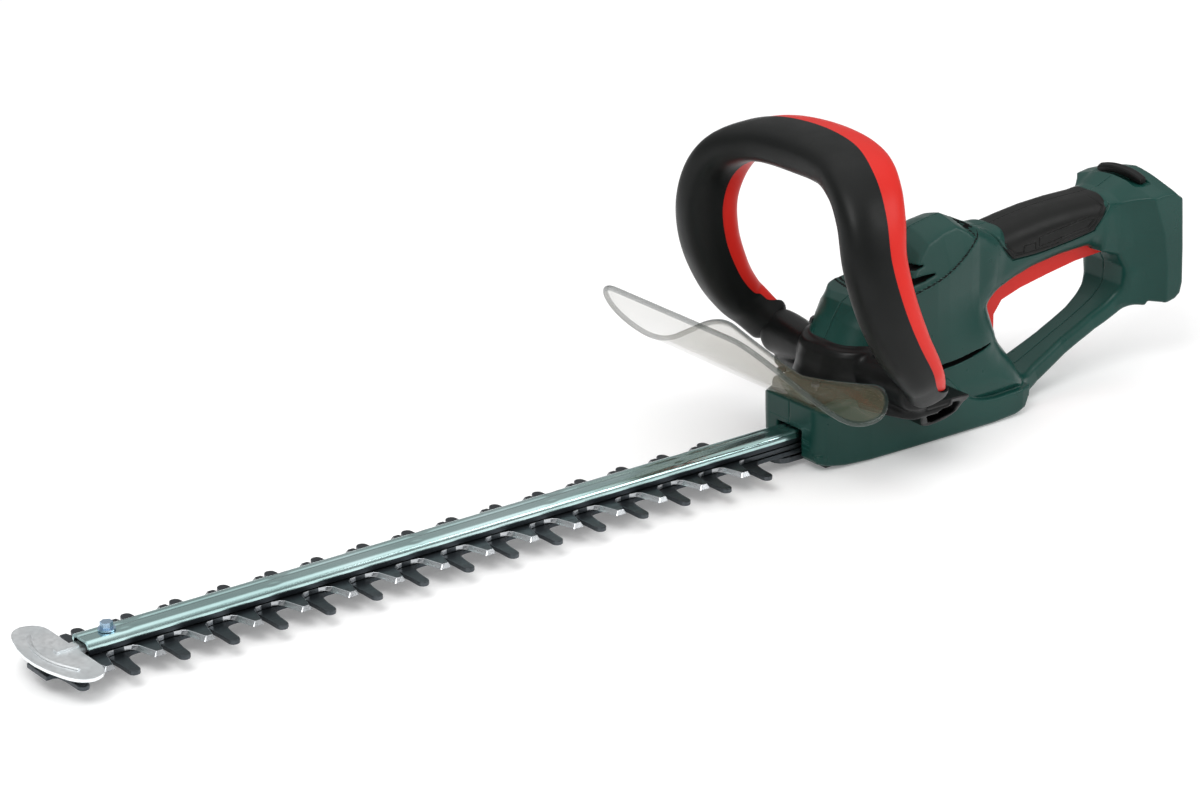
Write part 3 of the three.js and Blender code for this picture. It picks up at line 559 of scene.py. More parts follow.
def housing_field(grid):
    """The near half of the housing: tub, tower, grip, bay and strut run together, then cut."""
    x, z = grid.x, grid.z
    tub_half = table(TUB_HALF, x) - 0.035 * np.clip(30 - z, 0, 30)
    tub_edge = blend(-44, -24, x, 8.0, 5.0)
    tub_edge = blend(24, 52, x, tub_edge, 1.3)
    tub_edge = np.where(z < 12, 3.0, tub_edge) + 0 * x
    tub = grid.slab(outline_distance(TUB_OUTLINE, x, z), tub_half + 0 * z, tub_edge)

    front = blend(-10, 40, x, 24.0, 7.0)
    rear = blend(70, 122, z, 27.0, 9.0)
    tower_edge = blend(35, 75, x, front, rear)
    nose_edge = blend(98, 112, z, blend(-15, 25, x, 24.0, 7.0), blend(-15, 20, x, 15.0, 6.0))
    tower_edge = np.where(x < 30, np.minimum(tower_edge, nose_edge), tower_edge)
    tower = grid.slab(outline_distance(TOWER_OUTLINE, x, z), housing_widths(x, z), tower_edge)

    grip = grid.slab(outline_distance(GRIP_OUTLINE, x, z), table(GRIP_HALF, x) + 0 * z, 15.0)

    edge_x = table(BAY_EDGE_X, z)
    neck_x = table(BAY_NECK_X, z)
    share = np.clip((x - neck_x) / (edge_x - neck_x), 0, 1)
    bay_half = 20.5 + 19 * (0.35 * share + 0.65 * share**1.6) + 0.04 * np.clip(x - edge_x, 0, 20)
    bay_half = soft_min(bay_half, (table(BAY_RIDGE, x) + 1.5 - z) / 0.30, 5.0)
    bay = grid.slab(outline_distance(BAY_OUTLINE, x, z), bay_half, 3.4)

    gap, along = line_distance(flowing(STRUT_LINE), x, z)
    strut = grid.slab(gap - table(STRUT_THICK, along), table(STRUT_HALF, along), 4.0)

    field = soft_min(tower, grip, 7.0)
    field = soft_min(field, bay, 4.0)
    field = soft_min(field, strut, 6.0)
    field = soft_min(field, tub, 1.4)
    reach = grid.reach(field)
    return cut_housing(grid, field, reach), reach


def band(line, low, high):
    """The outline between two lines beside a line."""
    line = np.asarray(line, float)
    before = np.vstack([line[:1], line[:-1]])
    after = np.vstack([line[1:], line[-1:]])
    along = after - before
    along /= np.hypot(*along.T)[:, None]
    left = np.stack([-along[:, 1], along[:, 0]], axis=1)
    return np.vstack([line + left * low, (line + left * high)[::-1]])


def block(grid, x0, x1, half0, half1, z0, z1, edge):
    """A rounded box between two distances from the middle plane."""
    ahead = (np.maximum(x0 - grid.x, grid.x - x1) + 0 * grid.z)[:, None, :]
    above = (np.maximum(z0 - grid.z, grid.z - z1) + 0 * grid.x)[:, None, :]
    across = np.maximum(half0 - grid.away, grid.away - half1)
    return soft_max(soft_max(ahead, above, edge), across, edge)


def cut_housing(grid, field, reach):
    """Cuts the slot, vents, seam and pads' edges, the trigger's race, and the boxes."""
    x, z = grid.x, grid.z
    slot, along = line_distance(flowing(SLOT_LINE), x, z)
    field = grid.groove(field, reach, slot - table(SLOT_THICK, along), 0.0, SLOT_DEPTH)
    for line in VENT_LINES:
        gap, along = line_distance(line, x, z)
        field = grid.groove(field, reach, gap - table(VENT_THICK, along), 0.0, VENT_DEPTH)
    seam, _ = line_distance(flowing(SEAM_LINE), x, z)
    field = grid.groove(field, reach, seam, SEAM_HALF, SEAM_DEPTH)
    pad = np.abs(outline_distance(flowing(PAD_OUTLINE, closed=True), x, z))
    field = grid.groove(field, reach, pad, PAD_GAP_HALF, PAD_GAP_DEPTH)
    race = outline_distance(band(TRIGGER_LINE, *TRIGGER_RACE), x, z)[:, None, :]
    field = np.maximum(field, -soft_max(race, grid.away - RACE_HALF, 1.0))
    recess = soft_min(block(grid, *BAY_MOUTH), block(grid, *TERMINAL_ROOM), 0.5)
    field = np.maximum(field, -np.maximum(recess, -block(grid, *BATTERY_RAIL)))
    for box in CUTS:
        field = np.maximum(field, -block(grid, *box))
    return np.maximum(field, grid.y + SPLIT)


def recessed(grid, reach, places, lines, width, depth):
    """Which places lie in a slot, under the skin."""
    ix = np.clip(((places[:, 0] - grid.low[0]) / grid.step).round().astype(int), 0, reach.shape[0] - 1)
    iz = np.clip(((places[:, 2] - grid.low[2]) / grid.step).round().astype(int), 0, reach.shape[1] - 1)
    under = np.abs(places[:, 1]) < reach[ix, iz] - depth
    near = np.zeros(len(places), bool)
    for line in lines:
        gap, _ = line_distance(line, places[:, 0], places[:, 2])
        near |= gap < width
    return under & near


def build_housing():
    grid = Grid((-56, -43, -3), (277, 1.6, 155), 0.75)
    field, reach = housing_field(grid)
    places, faces = grid.skin(field)
    middles = places[faces].mean(axis=1)
    # Faces deep in the slots and vents take the painted shade, and faces deep in the seam take its dark joint
    # line.
    deep = recessed(grid, reach, middles, [SLOT_LINE, *VENT_LINES], 3.2, 1.0)
    deep |= recessed(grid, reach, middles, [SEAM_LINE], 0.9, 0.45)
    for side, *shape in both_sides(places, faces):
        obj = piece(
            f"housing_{side}_shell", *shape, [GREEN, PAINTED_SHADE_AND_JOINT], "machine", [f"housing_{side}"],
            slot="green_plastic",
        )
        obj.data.polygons.foreach_set("material_index", deep.astype(np.int32))


build_housing()


# ---- grip pads ----
PAD_PROUD = 0.8  # how far the pads stand out of the grip
PAD_THICK = 2.2
PAD_PANELS = [
    [(121, 121), (129, 113), (137, 112.4), (137, 116.5), (147.5, 117), (147.5, 112.8)],
    [(151, 113.2), (196, 118), (202, 122.5), (196, 124.6), (151, 119.8), (151, 113.2)],
    [
        (112, 129.5), (120.5, 119), (128, 111.2), (160, 111.4), (197, 115.6), (203, 119), (211.5, 129.5),
        (206, 135.6),
    ],
]


def build_pads():
    """Soft pads over the grip: the grip's own section, a little proud, with sunk lines and panels."""
    grid = Grid((96, -25, 100), (220, 1.6, 144), 0.6)
    x, z = grid.x, grid.z
    over = outline_distance(GRIP_OUTLINE, x, z) - PAD_PROUD
    skin = grid.slab(over, table(PAD_HALF, x) + 0 * z, 15.6)
    edge = outline_distance(flowing(PAD_OUTLINE, closed=True), x, z) + 0.5
    field = soft_max(skin, (edge + 0 * z)[:, None, :], 1.2)
    reach = grid.reach(field)
    for line in PAD_PANELS:
        gap, _ = line_distance(line, x, z)
        field = grid.groove(field, reach, gap, 0.4, 0.7)
    field = np.maximum(field, -(skin + PAD_THICK))
    field = np.maximum(field, grid.y + SPLIT)
    places, faces = grid.skin(field)
    for side, *shape in both_sides(places, faces):
        piece(f"grip_pad_{side}_skin", *shape, RUBBER, "machine", [f"grip_pad_{side}"], slot="grip_rubber")


build_pads()


# ---- front bail ----
# One side of the bail, from its top to its foot: x, y, z, depth along X, thickness.
BAIL_HALF_LINE = [
    (-31, 0, 214.7, 56, 31), (-34.9, 37.4, 213.4, 54, 29), (-44, 62.8, 205.6, 51.7, 27),
    (-50.6, 78.2, 189.2, 49, 27), (-54, 86.4, 164, 45, 29), (-48.4, 91.2, 134.6, 41, 32),
    (-36.4, 92.8, 107, 37, 33), (-23.4, 92, 88, 34, 31.5), (-14.6, 88.4, 78.2, 31, 30),
    (-6.2, 81.4, 67.6, 29, 29), (4.4, 69.8, 55.2, 28.2, 29), (23.1, 56, 43.3, 28, 29),
]
BAIL_SPLIT = 2.4  # the black shell ends this far behind the section's middle, and the red bar shows behind it
BAIL_LIP = 0.8  # the shell's wall round the red bar
BAIL_ROOM = 6.5  # how deep the red bar's channel is
BAIL_TAPER = (0.74, 0.85)  # the red bar runs out between these shares of the way down
BAIL_END = 0.865  # the feet stop at this share, on the saddle's necks
TOE_START, TOE_LENGTH, TOE_LEAST = 0.045, 0.046, 0.12  # how a foot rounds off, in shares of the way and size
BAR_LEAST = 1.6  # the red bar stops where less than this would show
FRONT_POWER, REAR_POWER = 2.55, 3.3  # how square the section is, in front of its middle and behind


def joined(count, size):
    """Faces that join rings of points into a closed skin."""
    faces = []
    for i in range(count - 1):
        for j in range(size):
            k = (j + 1) % size
            faces.append((i * size + k, i * size + j, (i + 1) * size + j, (i + 1) * size + k))
    faces.append(tuple(range(size)))
    faces.append(tuple((count - 1) * size + j for j in range(size))[::-1])
    return faces


class Bail:
    """Places, axes and sizes of the bail's sections, from one foot over the top to the other."""

    def __init__(self, steps):
        rows = np.array(BAIL_HALF_LINE, float)
        mirror = (rows[1:] * (1, -1, 1, 1, 1))[::-1]
        line = flowing(np.vstack([mirror, rows]), steps)
        self.middle = line[:, :3]
        self.share = np.abs(np.linspace(-1, 1, len(line)))
        past = ((self.share - BAIL_END + TOE_START) / TOE_LENGTH).clip(0)
        toe = np.sqrt(np.clip(1 - past**2, TOE_LEAST, 1))
        self.half_depth = line[:, 3] / 2 * toe
        self.half_thick = line[:, 4] / 2 * toe
        along = np.gradient(self.middle, axis=0)
        along /= np.linalg.norm(along, axis=1)[:, None]
        back = np.array([1.0, 0, 0]) - along * along[:, :1]
        self.back = back / np.linalg.norm(back, axis=1)[:, None]
        self.rise = np.cross(along, self.back)
        run_out = smoothstep(*BAIL_TAPER, self.share)
        self.split = BAIL_SPLIT * (1 - run_out) + (self.half_depth + 0.2) * run_out

    def rim(self, i, depth, margin=0.0):
        """The section's half thickness at a depth, drawn in by a margin."""
        power = FRONT_POWER if depth < 0 else REAR_POWER
        reach = self.half_depth[i] - margin
        share = min(1.0, abs(depth) / reach)
        return (self.half_thick[i] - margin) * (1 - share**power) ** (1 / power)

    def shell_section(self, i):
        end = min(self.split[i], self.half_depth[i] - 0.01)
        front = self.half_depth[i]
        depths = [-front * math.cos(a) for a in np.linspace(0, math.pi / 2, 11)]
        depths += [end * k / 6 for k in (1, 2, 3, 4, 5, 5.6, 6)]
        near = [(d, self.rim(i, d)) for d in depths]
        wall = max(0.02, self.rim(i, end) - BAIL_LIP)
        floor = end - BAIL_ROOM
        step = [(end, -wall), (floor, -wall), (floor, wall), (end, wall)]
        return near[::-1] + [(d, -h) for d, h in near[1:]] + step

    def bar_section(self, i, margin):
        start = self.split[i] - 0.6
        end = self.half_depth[i] - margin
        depths = [start + (end - start) * math.sin(a) for a in np.linspace(0, math.pi / 2, 12)]
        near = [(d, self.rim(i, d, margin)) for d in depths]
        return near + [(d, -h) for d, h in near[:-1][::-1]]

    def skin(self, indices, section):
        """Joins sections into a closed skin."""
        rows = []
        for i in indices:
            ring = np.array(section(i))
            rows.append(self.middle[i] + ring[:, :1] * self.back[i] + ring[:, 1:] * self.rise[i])
        return np.vstack(rows), joined(len(rows), len(rows[0]))


def build_bail():
    bail = Bail(12)
    indices = [i for i, share in enumerate(bail.share) if share < BAIL_END]
    skin = bail.skin(indices, bail.shell_section)
    shell = piece("bail_shell_skin", *skin, SOFT_BLACK, "machine", ["bail_shell"], slot="black_plastic")
    auto_smooth(shell, 38)
    visible = [i for i in indices if bail.split[i] < bail.half_depth[i] - BAR_LEAST]
    thinned = 0.95 + 0.9 * smoothstep(0.5, 0.66, bail.share)
    skin = bail.skin(visible, lambda i: bail.bar_section(i, thinned[i]))
    bar = piece("bail_switch_bar_skin", *skin, RED, "bail_bar", ["bail_switch_bar"], slot="red_plastic")
    auto_smooth(bar, 38)


build_bail()


# ---- hand guard ----
GUARD_HALF = 104
GUARD_SHEET = 2.6  # its thickness
GUARD_BEAD = 1.8  # the radius of the bead round its edge
GUARD_LOW = 54.4


def guard_height(x, y):
    """A sheet that dips along the line x = -56 and turns up at its front corners."""
    scoop = 0.05 * np.abs(x + 56) ** 1.6
    rise = 0.007 * np.maximum(0, x + 98) ** 2 * (np.abs(y) / 100) ** 1.2
    return GUARD_LOW + scoop + rise


def guard_edges(y):
    """Where the sheet starts and ends along X, with rounded corners."""

    def ease(start):
        return np.sqrt(np.maximum(0, 1 - (np.maximum(0, np.abs(y) - start) / (GUARD_HALF - start)) ** 2))

    return -100 - 52 * ease(60), -66 + 25 * ease(72)


def build_guard():
    across, slices = 120, 84
    ys = GUARD_HALF * np.sin(np.linspace(-math.pi / 2, math.pi / 2, across))
    shares = 0.5 - 0.5 * np.cos(np.linspace(0, math.pi, slices))
    front, rear = guard_edges(ys)
    x = front[:, None] + (rear - front)[:, None] * shares[None]
    y = np.repeat(ys[:, None], slices, axis=1)
    border = np.stack([np.concatenate([front, rear[::-1]]), np.concatenate([ys, ys[::-1]])], axis=1)
    inset, _ = line_distance(np.vstack([border, border[:1]]), x, y)
    bead = np.sqrt(np.maximum(0, GUARD_BEAD**2 - np.maximum(0, GUARD_BEAD - inset) ** 2))
    half = blend(GUARD_BEAD, 4.5, inset, 1, 0) * bead
    half = half + blend(GUARD_BEAD, 4.5, inset, 0, 1) * GUARD_SHEET / 2
    z = guard_height(x, y)
    slant = guard_height(x + 0.5, y) - guard_height(x - 0.5, y)
    length = np.hypot(1, slant)
    rows = []
    for side in (1, -1):
        surface = [x - side * half * slant / length, y, z + side * half / length]
        rows.append(np.stack(surface, axis=-1).reshape(-1, 3))
    count = across * slices
    faces = []
    for a, b, c, d in quads(across, slices):
        faces.append((a, d, c, b))
        faces.append((count + a, count + b, count + c, count + d))
    obj = piece(
        "hand_guard_sheet", np.vstack(rows), faces, SMOKE, "machine", ["hand_guard"],
        slot="smoked_sheet",
    )
    rim = np.tile(blend(1.4, 2.6, inset, 1, 0).reshape(-1), 2)
    attribute = obj.data.attributes.new("rim", "FLOAT", "POINT")
    attribute.data.foreach_set("value", rim.astype(np.float32))
    weld = obj.modifiers.new("weld", "WELD")
    weld.merge_threshold = 0.05 * MM


build_guard()


# ---- saddle, collar and latch ----
COLLAR_TOP, COLLAR_LOW, COLLAR_REAR = 80.4, 46, 24
# How far the collar stands out of the nose, by height.
COLLAR_SWELL = [(46, 1), (60, 1), (67, 2.2), (73, 3.6), (77.5, 3.4), (80.4, 0.9), (83, 0.7)]
POCKET_RIM = [
    (2, 46), (10, 37.5), (21.9, 22.6), (27, 19.4), (33.2, 18.5), (45.7, 21), (50.4, 27.9), (46.6, 37),
    (42, 46),
]
POCKET_HOLE = [(14.5, 41), (25.6, 25), (29, 22.8), (33.2, 22), (44.2, 25.4), (46.8, 29.8), (38.5, 41)]


# The arms and the sockets' reach, by distance from the middle plane and by height.
ARM_LOW, ARM_HALF = 39.5, 74
ARM_TOP = [(26, 55), (38, 53.5), (50, 51), (62, 47.5), (76, 46)]
ARM_FRONT = [(26, -24), (43, -20), (56, -16), (66, -12), (76, -4)]
ARM_REAR = [(26, 28), (40, 32), (56, 36), (66, 34), (76, 24)]
SOCKET_REACH = [(16, 44), (22, 48), (30, 55), (40, 66), (47, 72)]
NECK_X, NECK_Z, NECK_RADIUS, NECK_END = -8, 62.5, 13.5, 77  # at the collar, and how far out each neck goes
SHELF = (-50, -20, -80, 24, 42, 53.8, 4.0)  # the box that the hand guard is screwed to


def build_saddle():
    """The black saddle: a collar round the nose, arms and necks to the bail's feet, an open pocket under
    each foot, and the shelf for the hand guard."""
    grid = Grid((-54, -78, 16), (56, 78, 84), 0.9)
    x, z = grid.x, grid.z
    swell = table(COLLAR_SWELL, z) + 0 * x
    around = outline_distance(TOWER_OUTLINE, x, z)
    collar = grid.slab(around - swell, housing_widths(x, z) + swell, 23 + swell)
    ends = np.maximum(np.maximum(z - COLLAR_TOP, COLLAR_LOW - z), x - COLLAR_REAR) + 0 * x * z
    collar = soft_max(collar, ends[:, None, :], 1.2)

    above = z[:, None, :]
    front, rear = table(ARM_FRONT, grid.away), table(ARM_REAR, grid.away)
    sides = soft_max(front - x[:, :, None], x[:, :, None] - rear, 3.0)
    height = soft_max(above - table(ARM_TOP, grid.away), ARM_LOW - above, 2.0)
    arm = soft_max(soft_max(sides, height, 4.0), grid.away - ARM_HALF, 4.0)

    rim = outline_distance(flowing(POCKET_RIM, 5, closed=True), x, z)
    reach = table(SOCKET_REACH, z) + 0 * x
    socket = soft_max(rim[:, None, :], grid.away - reach[:, None, :], 1.4)
    hole = outline_distance(flowing(POCKET_HOLE, 5, closed=True), x, z)
    hollow = soft_max(hole[:, None, :], 40.5 - grid.away, 1.0)
    outward = smoothstep(26, 70, grid.away)
    across = (x + 0 * z)[:, None, :] - NECK_X - 5 * outward
    neck = np.hypot(across, above + 0 * across - NECK_Z + 1.5 * outward) - NECK_RADIUS - 2.2 * outward
    neck = soft_max(neck, grid.away - NECK_END, 7.0)
    body = soft_min(soft_min(collar, arm, 3.0), neck, 2.5)
    body = np.minimum(body, np.minimum(socket, block(grid, *SHELF)))
    body = np.maximum(body, -hollow)
    places, faces = grid.skin(body)
    # Painted shade: the faces inside the pocket hole take the near-black material.
    middles = places[faces].mean(axis=1)
    inside = np.interp(middles[:, 2], [16, 47], [43, 60])
    deep = outline_distance(POCKET_HOLE, middles[:, 0], middles[:, 2]) < 1.0
    deep &= np.abs(middles[:, 1]) < inside
    nodes = ["bail_saddle", "nose_collar"]
    obj = piece("saddle_and_collar", places, faces, [BLACK, PAINTED_SHADE_AND_JOINT], "machine", nodes, slot="black_plastic")
    obj.data.polygons.foreach_set("material_index", deep.astype(np.int32))


build_saddle()


LATCH_HALF, LATCH_TOP, LATCH_THICK = 21.8, 146.2, 5.0
LATCH_FRONT, LATCH_REAR = 244.4, 250.6


def build_latch():
    """An arched tab across the bay's roof, with a raised thumb edge."""
    across = np.linspace(-1, 1, 41)
    rows = []
    for t in across:
        y = LATCH_HALF * t
        top = LATCH_TOP - 3.6 * abs(t) ** 2.2
        low = top - LATCH_THICK * (1 - 0.35 * abs(t) ** 8)
        front, rear = LATCH_FRONT + 0.6 * abs(t) ** 6, LATCH_REAR - 0.6 * abs(t) ** 6
        rows.append([
            (front, y, low), (front, y, top - 1.2), (front + 1.2, y, top), (rear - 3.4, y, top + 0.2),
            (rear - 1.4, y, top + 1.1), (rear, y, top + 0.4), (rear, y, low),
        ])
    faces = [face[::-1] for face in joined(len(rows), len(rows[0]))]
    places = [p for row in rows for p in row]
    obj = piece("latch_tab", places, faces, BLACK, "latch", ["battery_latch"], slot="black_plastic")
    auto_smooth(obj, 30)
    bevel(obj, 0.5, 2, 40)


build_latch()


# ---- cutter bar ----
PITCH = 34
TEETH = 16
FIRST_TOOTH_X = -100
COMB_Z, KNIFE_Z = 10, 13.3  # the undersides of the two blades
PLATE = 3
COMB_REAR, COMB_HALF, COMB_NOSE = 34, 12, 12  # its root's end, half width, and how far its nose goes on
KNIFE_REAR, KNIFE_HALF, KNIFE_NOSE = 12, 10.5, 8
KNIFE_LEAD = -13  # the knife's teeth stand this far ahead of the comb's at rest
GROUND_SLANT = 0.8  # a flank drawn in by more than this is ground


def outline_plate(name, low, high, z0, z1, materials, body, node, slot):
    """A plate whose top outline may be drawn in from its bottom outline, which leaves ground flanks."""
    size = len(low)
    places = [(px, py, z0) for px, py in low] + [(px, py, z1) for px, py in high]
    faces = [tuple(range(size))[::-1], tuple(range(size, 2 * size))]
    flanks = []
    for i in range(size):
        k = (i + 1) % size
        faces.append((i, k, size + k, size + i))
        (ax, ay), (bx, by) = low[i], high[i]
        (cx, cy), (dx, dy) = low[k], high[k]
        slants = math.hypot(ax - bx, ay - by), math.hypot(cx - dx, cy - dy)
        flanks.append(max(slants) > GROUND_SLANT)
    obj = piece(name, places, faces, materials, body, [node], smooth=False, slot=slot)
    for polygon, ground in zip(list(obj.data.polygons)[2:], flanks):
        polygon.material_index = 1 if ground else 0
    triangulate = obj.modifiers.new("triangles", "TRIANGULATE")
    triangulate.min_vertices = 5
    return obj


def rounded_tip(x, reach, half):
    angles = np.linspace(0, math.pi, 7)
    return [(x + half * math.cos(a), reach - half + half * math.sin(a)) for a in angles]


def comb_edge(x):
    """One blunt tooth of the comb, from its body side to its nose side."""
    flare = [(x + 13, 12), (x + 10.2, 12.6), (x + 8, 14), (x + 6.2, 17), (x + 5.2, 21), (x + 4.3, 26)]
    return [*flare, *rounded_tip(x, 38, 3.8), (x - 3.8, 24), (x - 4.4, 16), (x - 5.2, 13), (x - 7, 12)]


def knife_edge(x):
    """One sharp tooth of the knife: its cutting edges at the bottom, and its narrower top."""
    c = x + KNIFE_LEAD
    low = [(13, 10.5), (9.6, 11.2), (8, 13.5), (4, 28.6), (3.4, 29.2), (-3.4, 29.2), (-4, 28.6), (-8, 13.5)]
    low += [(-9.8, 11), (-14, 10.5)]
    high = [(13, 10.5), (8.8, 11), (6.2, 13.5), (2.6, 27.2), (2.2, 27.8), (-1.8, 27.8), (-2.2, 27.2)]
    high += [(-6.0, 14), (-9.0, 11.4), (-14, 10.5)]
    return [(c + dx, y) for dx, y in low], [(c + dx, y) for dx, y in high]


def two_sided(edge, rear_x, half, front_x):
    """A plate's outline from the teeth along one edge: the other edge is its mirror image."""
    near = [(rear_x, -half)] + [(px, -py) for px, py in edge] + [(front_x, -half)]
    return near + [(px, -py) for px, py in near[::-1]]


def build_blades():
    edge, low, high = [], [], []
    for i in range(TEETH):
        x = FIRST_TOOTH_X - PITCH * i
        edge += comb_edge(x)
        if i < TEETH - 1:
            a, b = knife_edge(x)
            low += a
            high += b
    front = FIRST_TOOTH_X - PITCH * (TEETH - 1)
    outline = two_sided(edge, COMB_REAR, COMB_HALF, front - COMB_NOSE)[::-1]
    comb = outline_plate(
        "comb_blade_plate", outline, outline, COMB_Z, COMB_Z + PLATE, [GUNMETAL, GROUND],
        "machine", "comb_blade", "blade_steel",
    )
    bevel(comb, 0.5, 2, 30)
    ends = KNIFE_REAR, KNIFE_HALF, front - KNIFE_NOSE
    bottom, top = (two_sided(side, *ends)[::-1] for side in (low, high))
    knife = outline_plate(
        "knife_blade_plate", bottom, top, KNIFE_Z, KNIFE_Z + PLATE, [GUNMETAL, GROUND],
        "knife", "knife_blade", "blade_steel",
    )
    bevel(knife, 0.15, 1, 30)


build_blades()

RAIL_FRONT, RAIL_REAR = -592, -26
RAIL_TOP, RAIL_LOW, RAIL_HALF = 25, 17, 10
RAIL_SHEET, RAIL_CEILING = 1.6, 23.2  # its sheet's thickness, and the underside of its top
# The rail's low flanks are painted in the dark blade steel: painted shade of the gap above the blades and a
# painted dark reflection.
RAIL_PAINTED_SHADE_BELOW = 20.4  # its flanks are dark under this height
DIMPLES_X = [-556 + 104 * i for i in range(5)]


def build_rail():
    """An upside down channel with a crease along its top, soft corners and pressed dimples."""
    flank = [(-9.9, RAIL_LOW), (-RAIL_HALF, 18.6), (-RAIL_HALF, 20.2), (-9.9, 21.2), (-9.6, 22.6)]
    flank += [(-8.9, 23.9), (-7.8, 24.7), (-6.4, RAIL_TOP)]
    top = [(y, RAIL_TOP) for y in np.linspace(-5.2, 5.2, 13)]
    section = np.array([*flank, *top, *[(-y, z) for y, z in flank[::-1]]])
    xs = np.arange(RAIL_FRONT, RAIL_REAR + 0.1, 1.5)
    rows = []
    for x in xs:
        ys, zs = section[:, 0].copy(), section[:, 1].copy()
        on_top = smoothstep(9, 5, np.abs(ys))
        crease = -0.55 * np.exp(-(((ys - 2.2) / 0.8) ** 2))
        zs = zs + on_top * crease
        for centre in DIMPLES_X:
            far = np.exp(-((((x - centre) / 7) ** 2 + ((ys - 5.5) / 2.6) ** 2) ** 2))
            near = np.exp(-((((x - centre + 9) / 5) ** 2 + ((ys + 5.5) / 2.4) ** 2) ** 2))
            zs = zs - 0.45 * far - 0.35 * near
        rows.append(np.stack([np.full(len(ys), x), ys, zs], axis=1))
    outer = np.array(rows)
    inner = outer.copy()
    inner[:, :, 1] *= 0.84
    height = outer[:, :, 2]
    within = np.where(height > RAIL_LOW + 0.01, np.minimum(height - RAIL_SHEET, RAIL_CEILING), height)
    inner[:, :, 2] = np.maximum(within, RAIL_LOW)
    count, size = len(xs), len(section)
    places = np.vstack([outer.reshape(-1, 3), inner.reshape(-1, 3)])
    shift = count * size
    faces = []
    for a, b, c, d in quads(count, size):
        faces.append((a, b, c, d))
        faces.append((shift + a, shift + d, shift + c, shift + b))
    for a in range(0, shift - size, size):
        b, c, d = a + size, a + size - 1, a + 2 * size - 1
        faces.append((a, b, shift + b, shift + a))
        faces.append((d, c, shift + c, shift + d))
    for i in (0, count - 1):
        for j in range(size - 1):
            a, b = i * size + j, i * size + j + 1
            quad = (a, shift + a, shift + b, b)
            faces.append(quad if i == 0 else quad[::-1])
    obj = piece(
        "blade_rail_sheet", places, faces, [ZINC, GUNMETAL], "machine", ["blade_rail"],
        slot="zinc_sheet",
    )
    # Painted shade and painted dark reflection: faces low on the flanks take the dark blade steel.
    for polygon in obj.data.polygons:
        polygon.material_index = 1 if polygon.center.z < RAIL_PAINTED_SHADE_BELOW * MM else 0
    auto_smooth(obj, 50)


build_rail()


# ---- CAD pieces that stay ----
CAD_LOOKS = [
    (STEEL, "tip_nut", "crank_shaft", "drive_gear", "motor_pinion", "crank_bearing", "gearbox_plate"),
    (STEEL, "motor_can", "motor_rotor", "trigger_pin", "trigger_spring", "heat_sink", "bail_leaf_spring"),
    (STEEL, *[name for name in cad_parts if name.startswith("blade_screw")]),
    (BLACK_STEEL, *[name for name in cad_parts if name.startswith(("housing_screw", "guard_screw"))]),
    (BLACK, "base_cover", "motor_fan", "terminal_block", "trigger_switch", "bail_switch", "blade_wiper"),
    (GUNMETAL, "blade_support"),
    (BRASS, "terminal_minus", "terminal_data", "terminal_plus"),
    (RED, "trigger"),
    (BOARD, "control_board"),
    (SILVER, "tip_guard"),
    (BLUE_STEEL, "tip_bolt"),
]


def paint_cad():
    """Gives each CAD piece that stays its own material."""
    for material, *names in CAD_LOOKS:
        for name in names:
            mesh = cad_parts[name].data
            mesh.materials.clear()
            mesh.materials.append(material)


paint_cad()


# ---- camera, light and floor ----
CAMERA_PLACE = (-1.52518, -1.78827, 0.94268)
CAMERA_YAW, CAMERA_PITCH, CAMERA_ROLL = 36.342, 21.192, -0.904
CAMERA_LENS, SENSOR_WIDTH = 111.7, 36
FLOOR_HALF, FLOOR_Z = 12, -0.0006
# The room's greys, from below to overhead.
SKY = [(0.0, 0.3), (0.2, 0.22), (0.34, 0.5), (0.44, 0.34), (0.62, 0.5), (0.8, 1.2), (1.0, 1.3)]


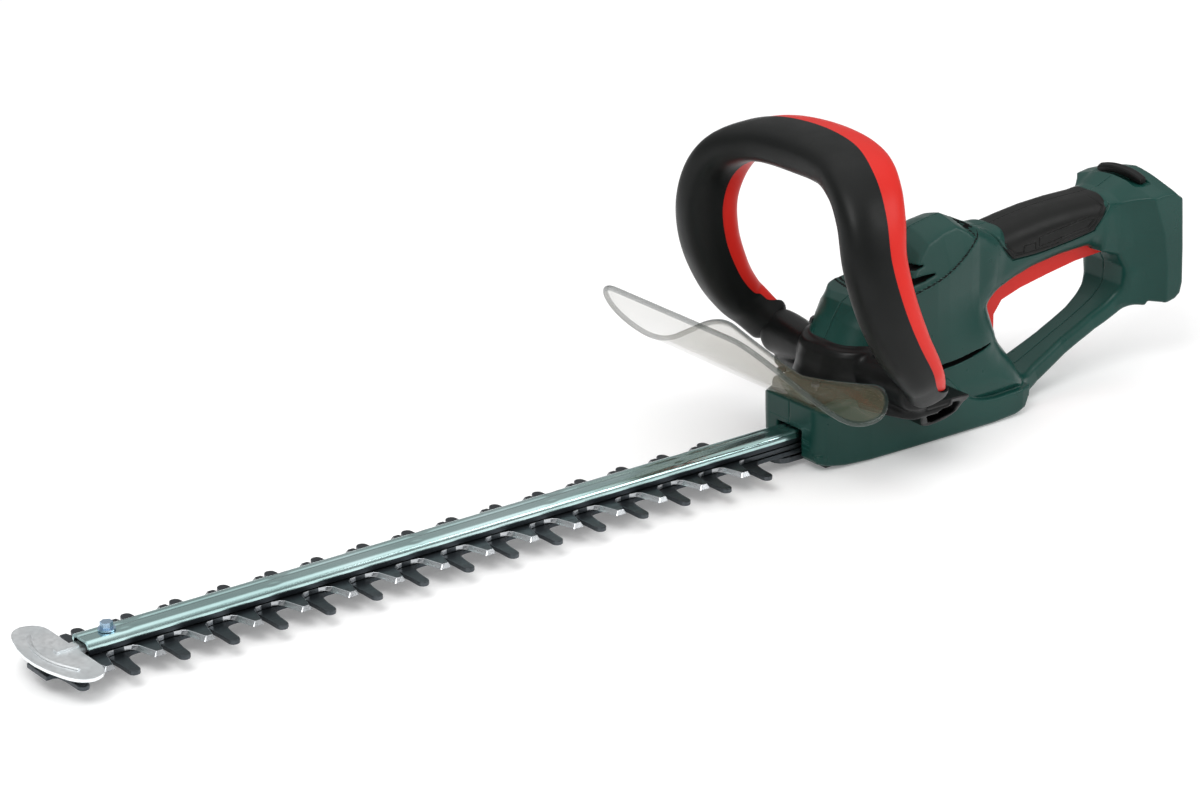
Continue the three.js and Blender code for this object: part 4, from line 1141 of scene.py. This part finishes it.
def add_camera():
    yaw, pitch, roll = (math.radians(v) for v in (CAMERA_YAW, CAMERA_PITCH, CAMERA_ROLL))
    forward = Vector((math.sin(yaw) * math.cos(pitch), math.cos(yaw) * math.cos(pitch), -math.sin(pitch)))
    right = Vector((math.cos(yaw), -math.sin(yaw), 0))
    up = right.cross(forward)
    side = right * math.cos(roll) + up * math.sin(roll)
    head = up * math.cos(roll) - right * math.sin(roll)
    data = bpy.data.cameras.new("camera")
    data.lens = CAMERA_LENS
    data.sensor_width = SENSOR_WIDTH
    data.clip_end = 50
    camera = bpy.data.objects.new("camera", data)
    turned = Matrix((side, head, -forward)).transposed().to_4x4()
    camera.matrix_world = Matrix.Translation(CAMERA_PLACE) @ turned
    bpy.context.scene.collection.objects.link(camera)
    bpy.context.scene.camera = camera


def add_light(name, place, aim, size, watts):
    data = bpy.data.lights.new(name, "AREA")
    data.shape = "RECTANGLE"
    data.size, data.size_y = size
    data.energy = watts
    light = bpy.data.objects.new(name, data)
    light.location = place
    light.rotation_euler = (Vector(aim) - Vector(place)).to_track_quat("-Z", "Y").to_euler()
    bpy.context.scene.collection.objects.link(light)


def add_studio():
    """A pale room, brighter overhead, with two soft lights and a floor that catches a faint shadow."""
    world = bpy.data.worlds.new("studio")
    world.use_nodes = True
    tree = world.node_tree
    place = tree.nodes.new("ShaderNodeTexCoord")
    split = tree.nodes.new("ShaderNodeSeparateXYZ")
    ramp = tree.nodes.new("ShaderNodeValToRGB")
    fill_ramp(ramp, [(height, (grey, grey, grey)) for height, grey in SKY])
    tree.links.new(place.outputs["Generated"], split.inputs["Vector"])
    tree.links.new(split.outputs["Z"], ramp.inputs["Fac"])
    tree.links.new(ramp.outputs["Color"], tree.nodes["Background"].inputs["Color"])
    bpy.context.scene.world = world
    add_light("key", (-1.5, -0.9, 1.9), (-0.1, 0, 0.1), (1.2, 0.9), 26)
    add_light("side", (1.4, -1.5, 1.2), (0.1, 0, 0.1), (0.9, 0.9), 12)
    mesh = bpy.data.meshes.new("floor")
    corners = [(x * FLOOR_HALF, y * FLOOR_HALF, 0) for x, y in ((-1, -1), (1, -1), (1, 1), (-1, 1))]
    mesh.from_pydata(corners, [], [(0, 1, 2, 3)])
    floor = bpy.data.objects.new("floor", mesh)
    floor.location.z = FLOOR_Z
    pale = Maker("pale_floor")
    cloud = pale.ramp(pale.noise(2.0), [(0.3, (0.84, 0.84, 0.84)), (0.7, (0.86, 0.86, 0.86))])
    pale.link(cloud, pale.shader.inputs["Base Color"])
    pale.set(Roughness=0.9, Emission_Color=(1, 1, 1, 1), Emission_Strength=0.2)
    mesh.materials.append(pale.material)
    bpy.context.scene.collection.objects.link(floor)
    bpy.context.scene.view_settings.view_transform = "Standard"


add_camera()
add_studio()
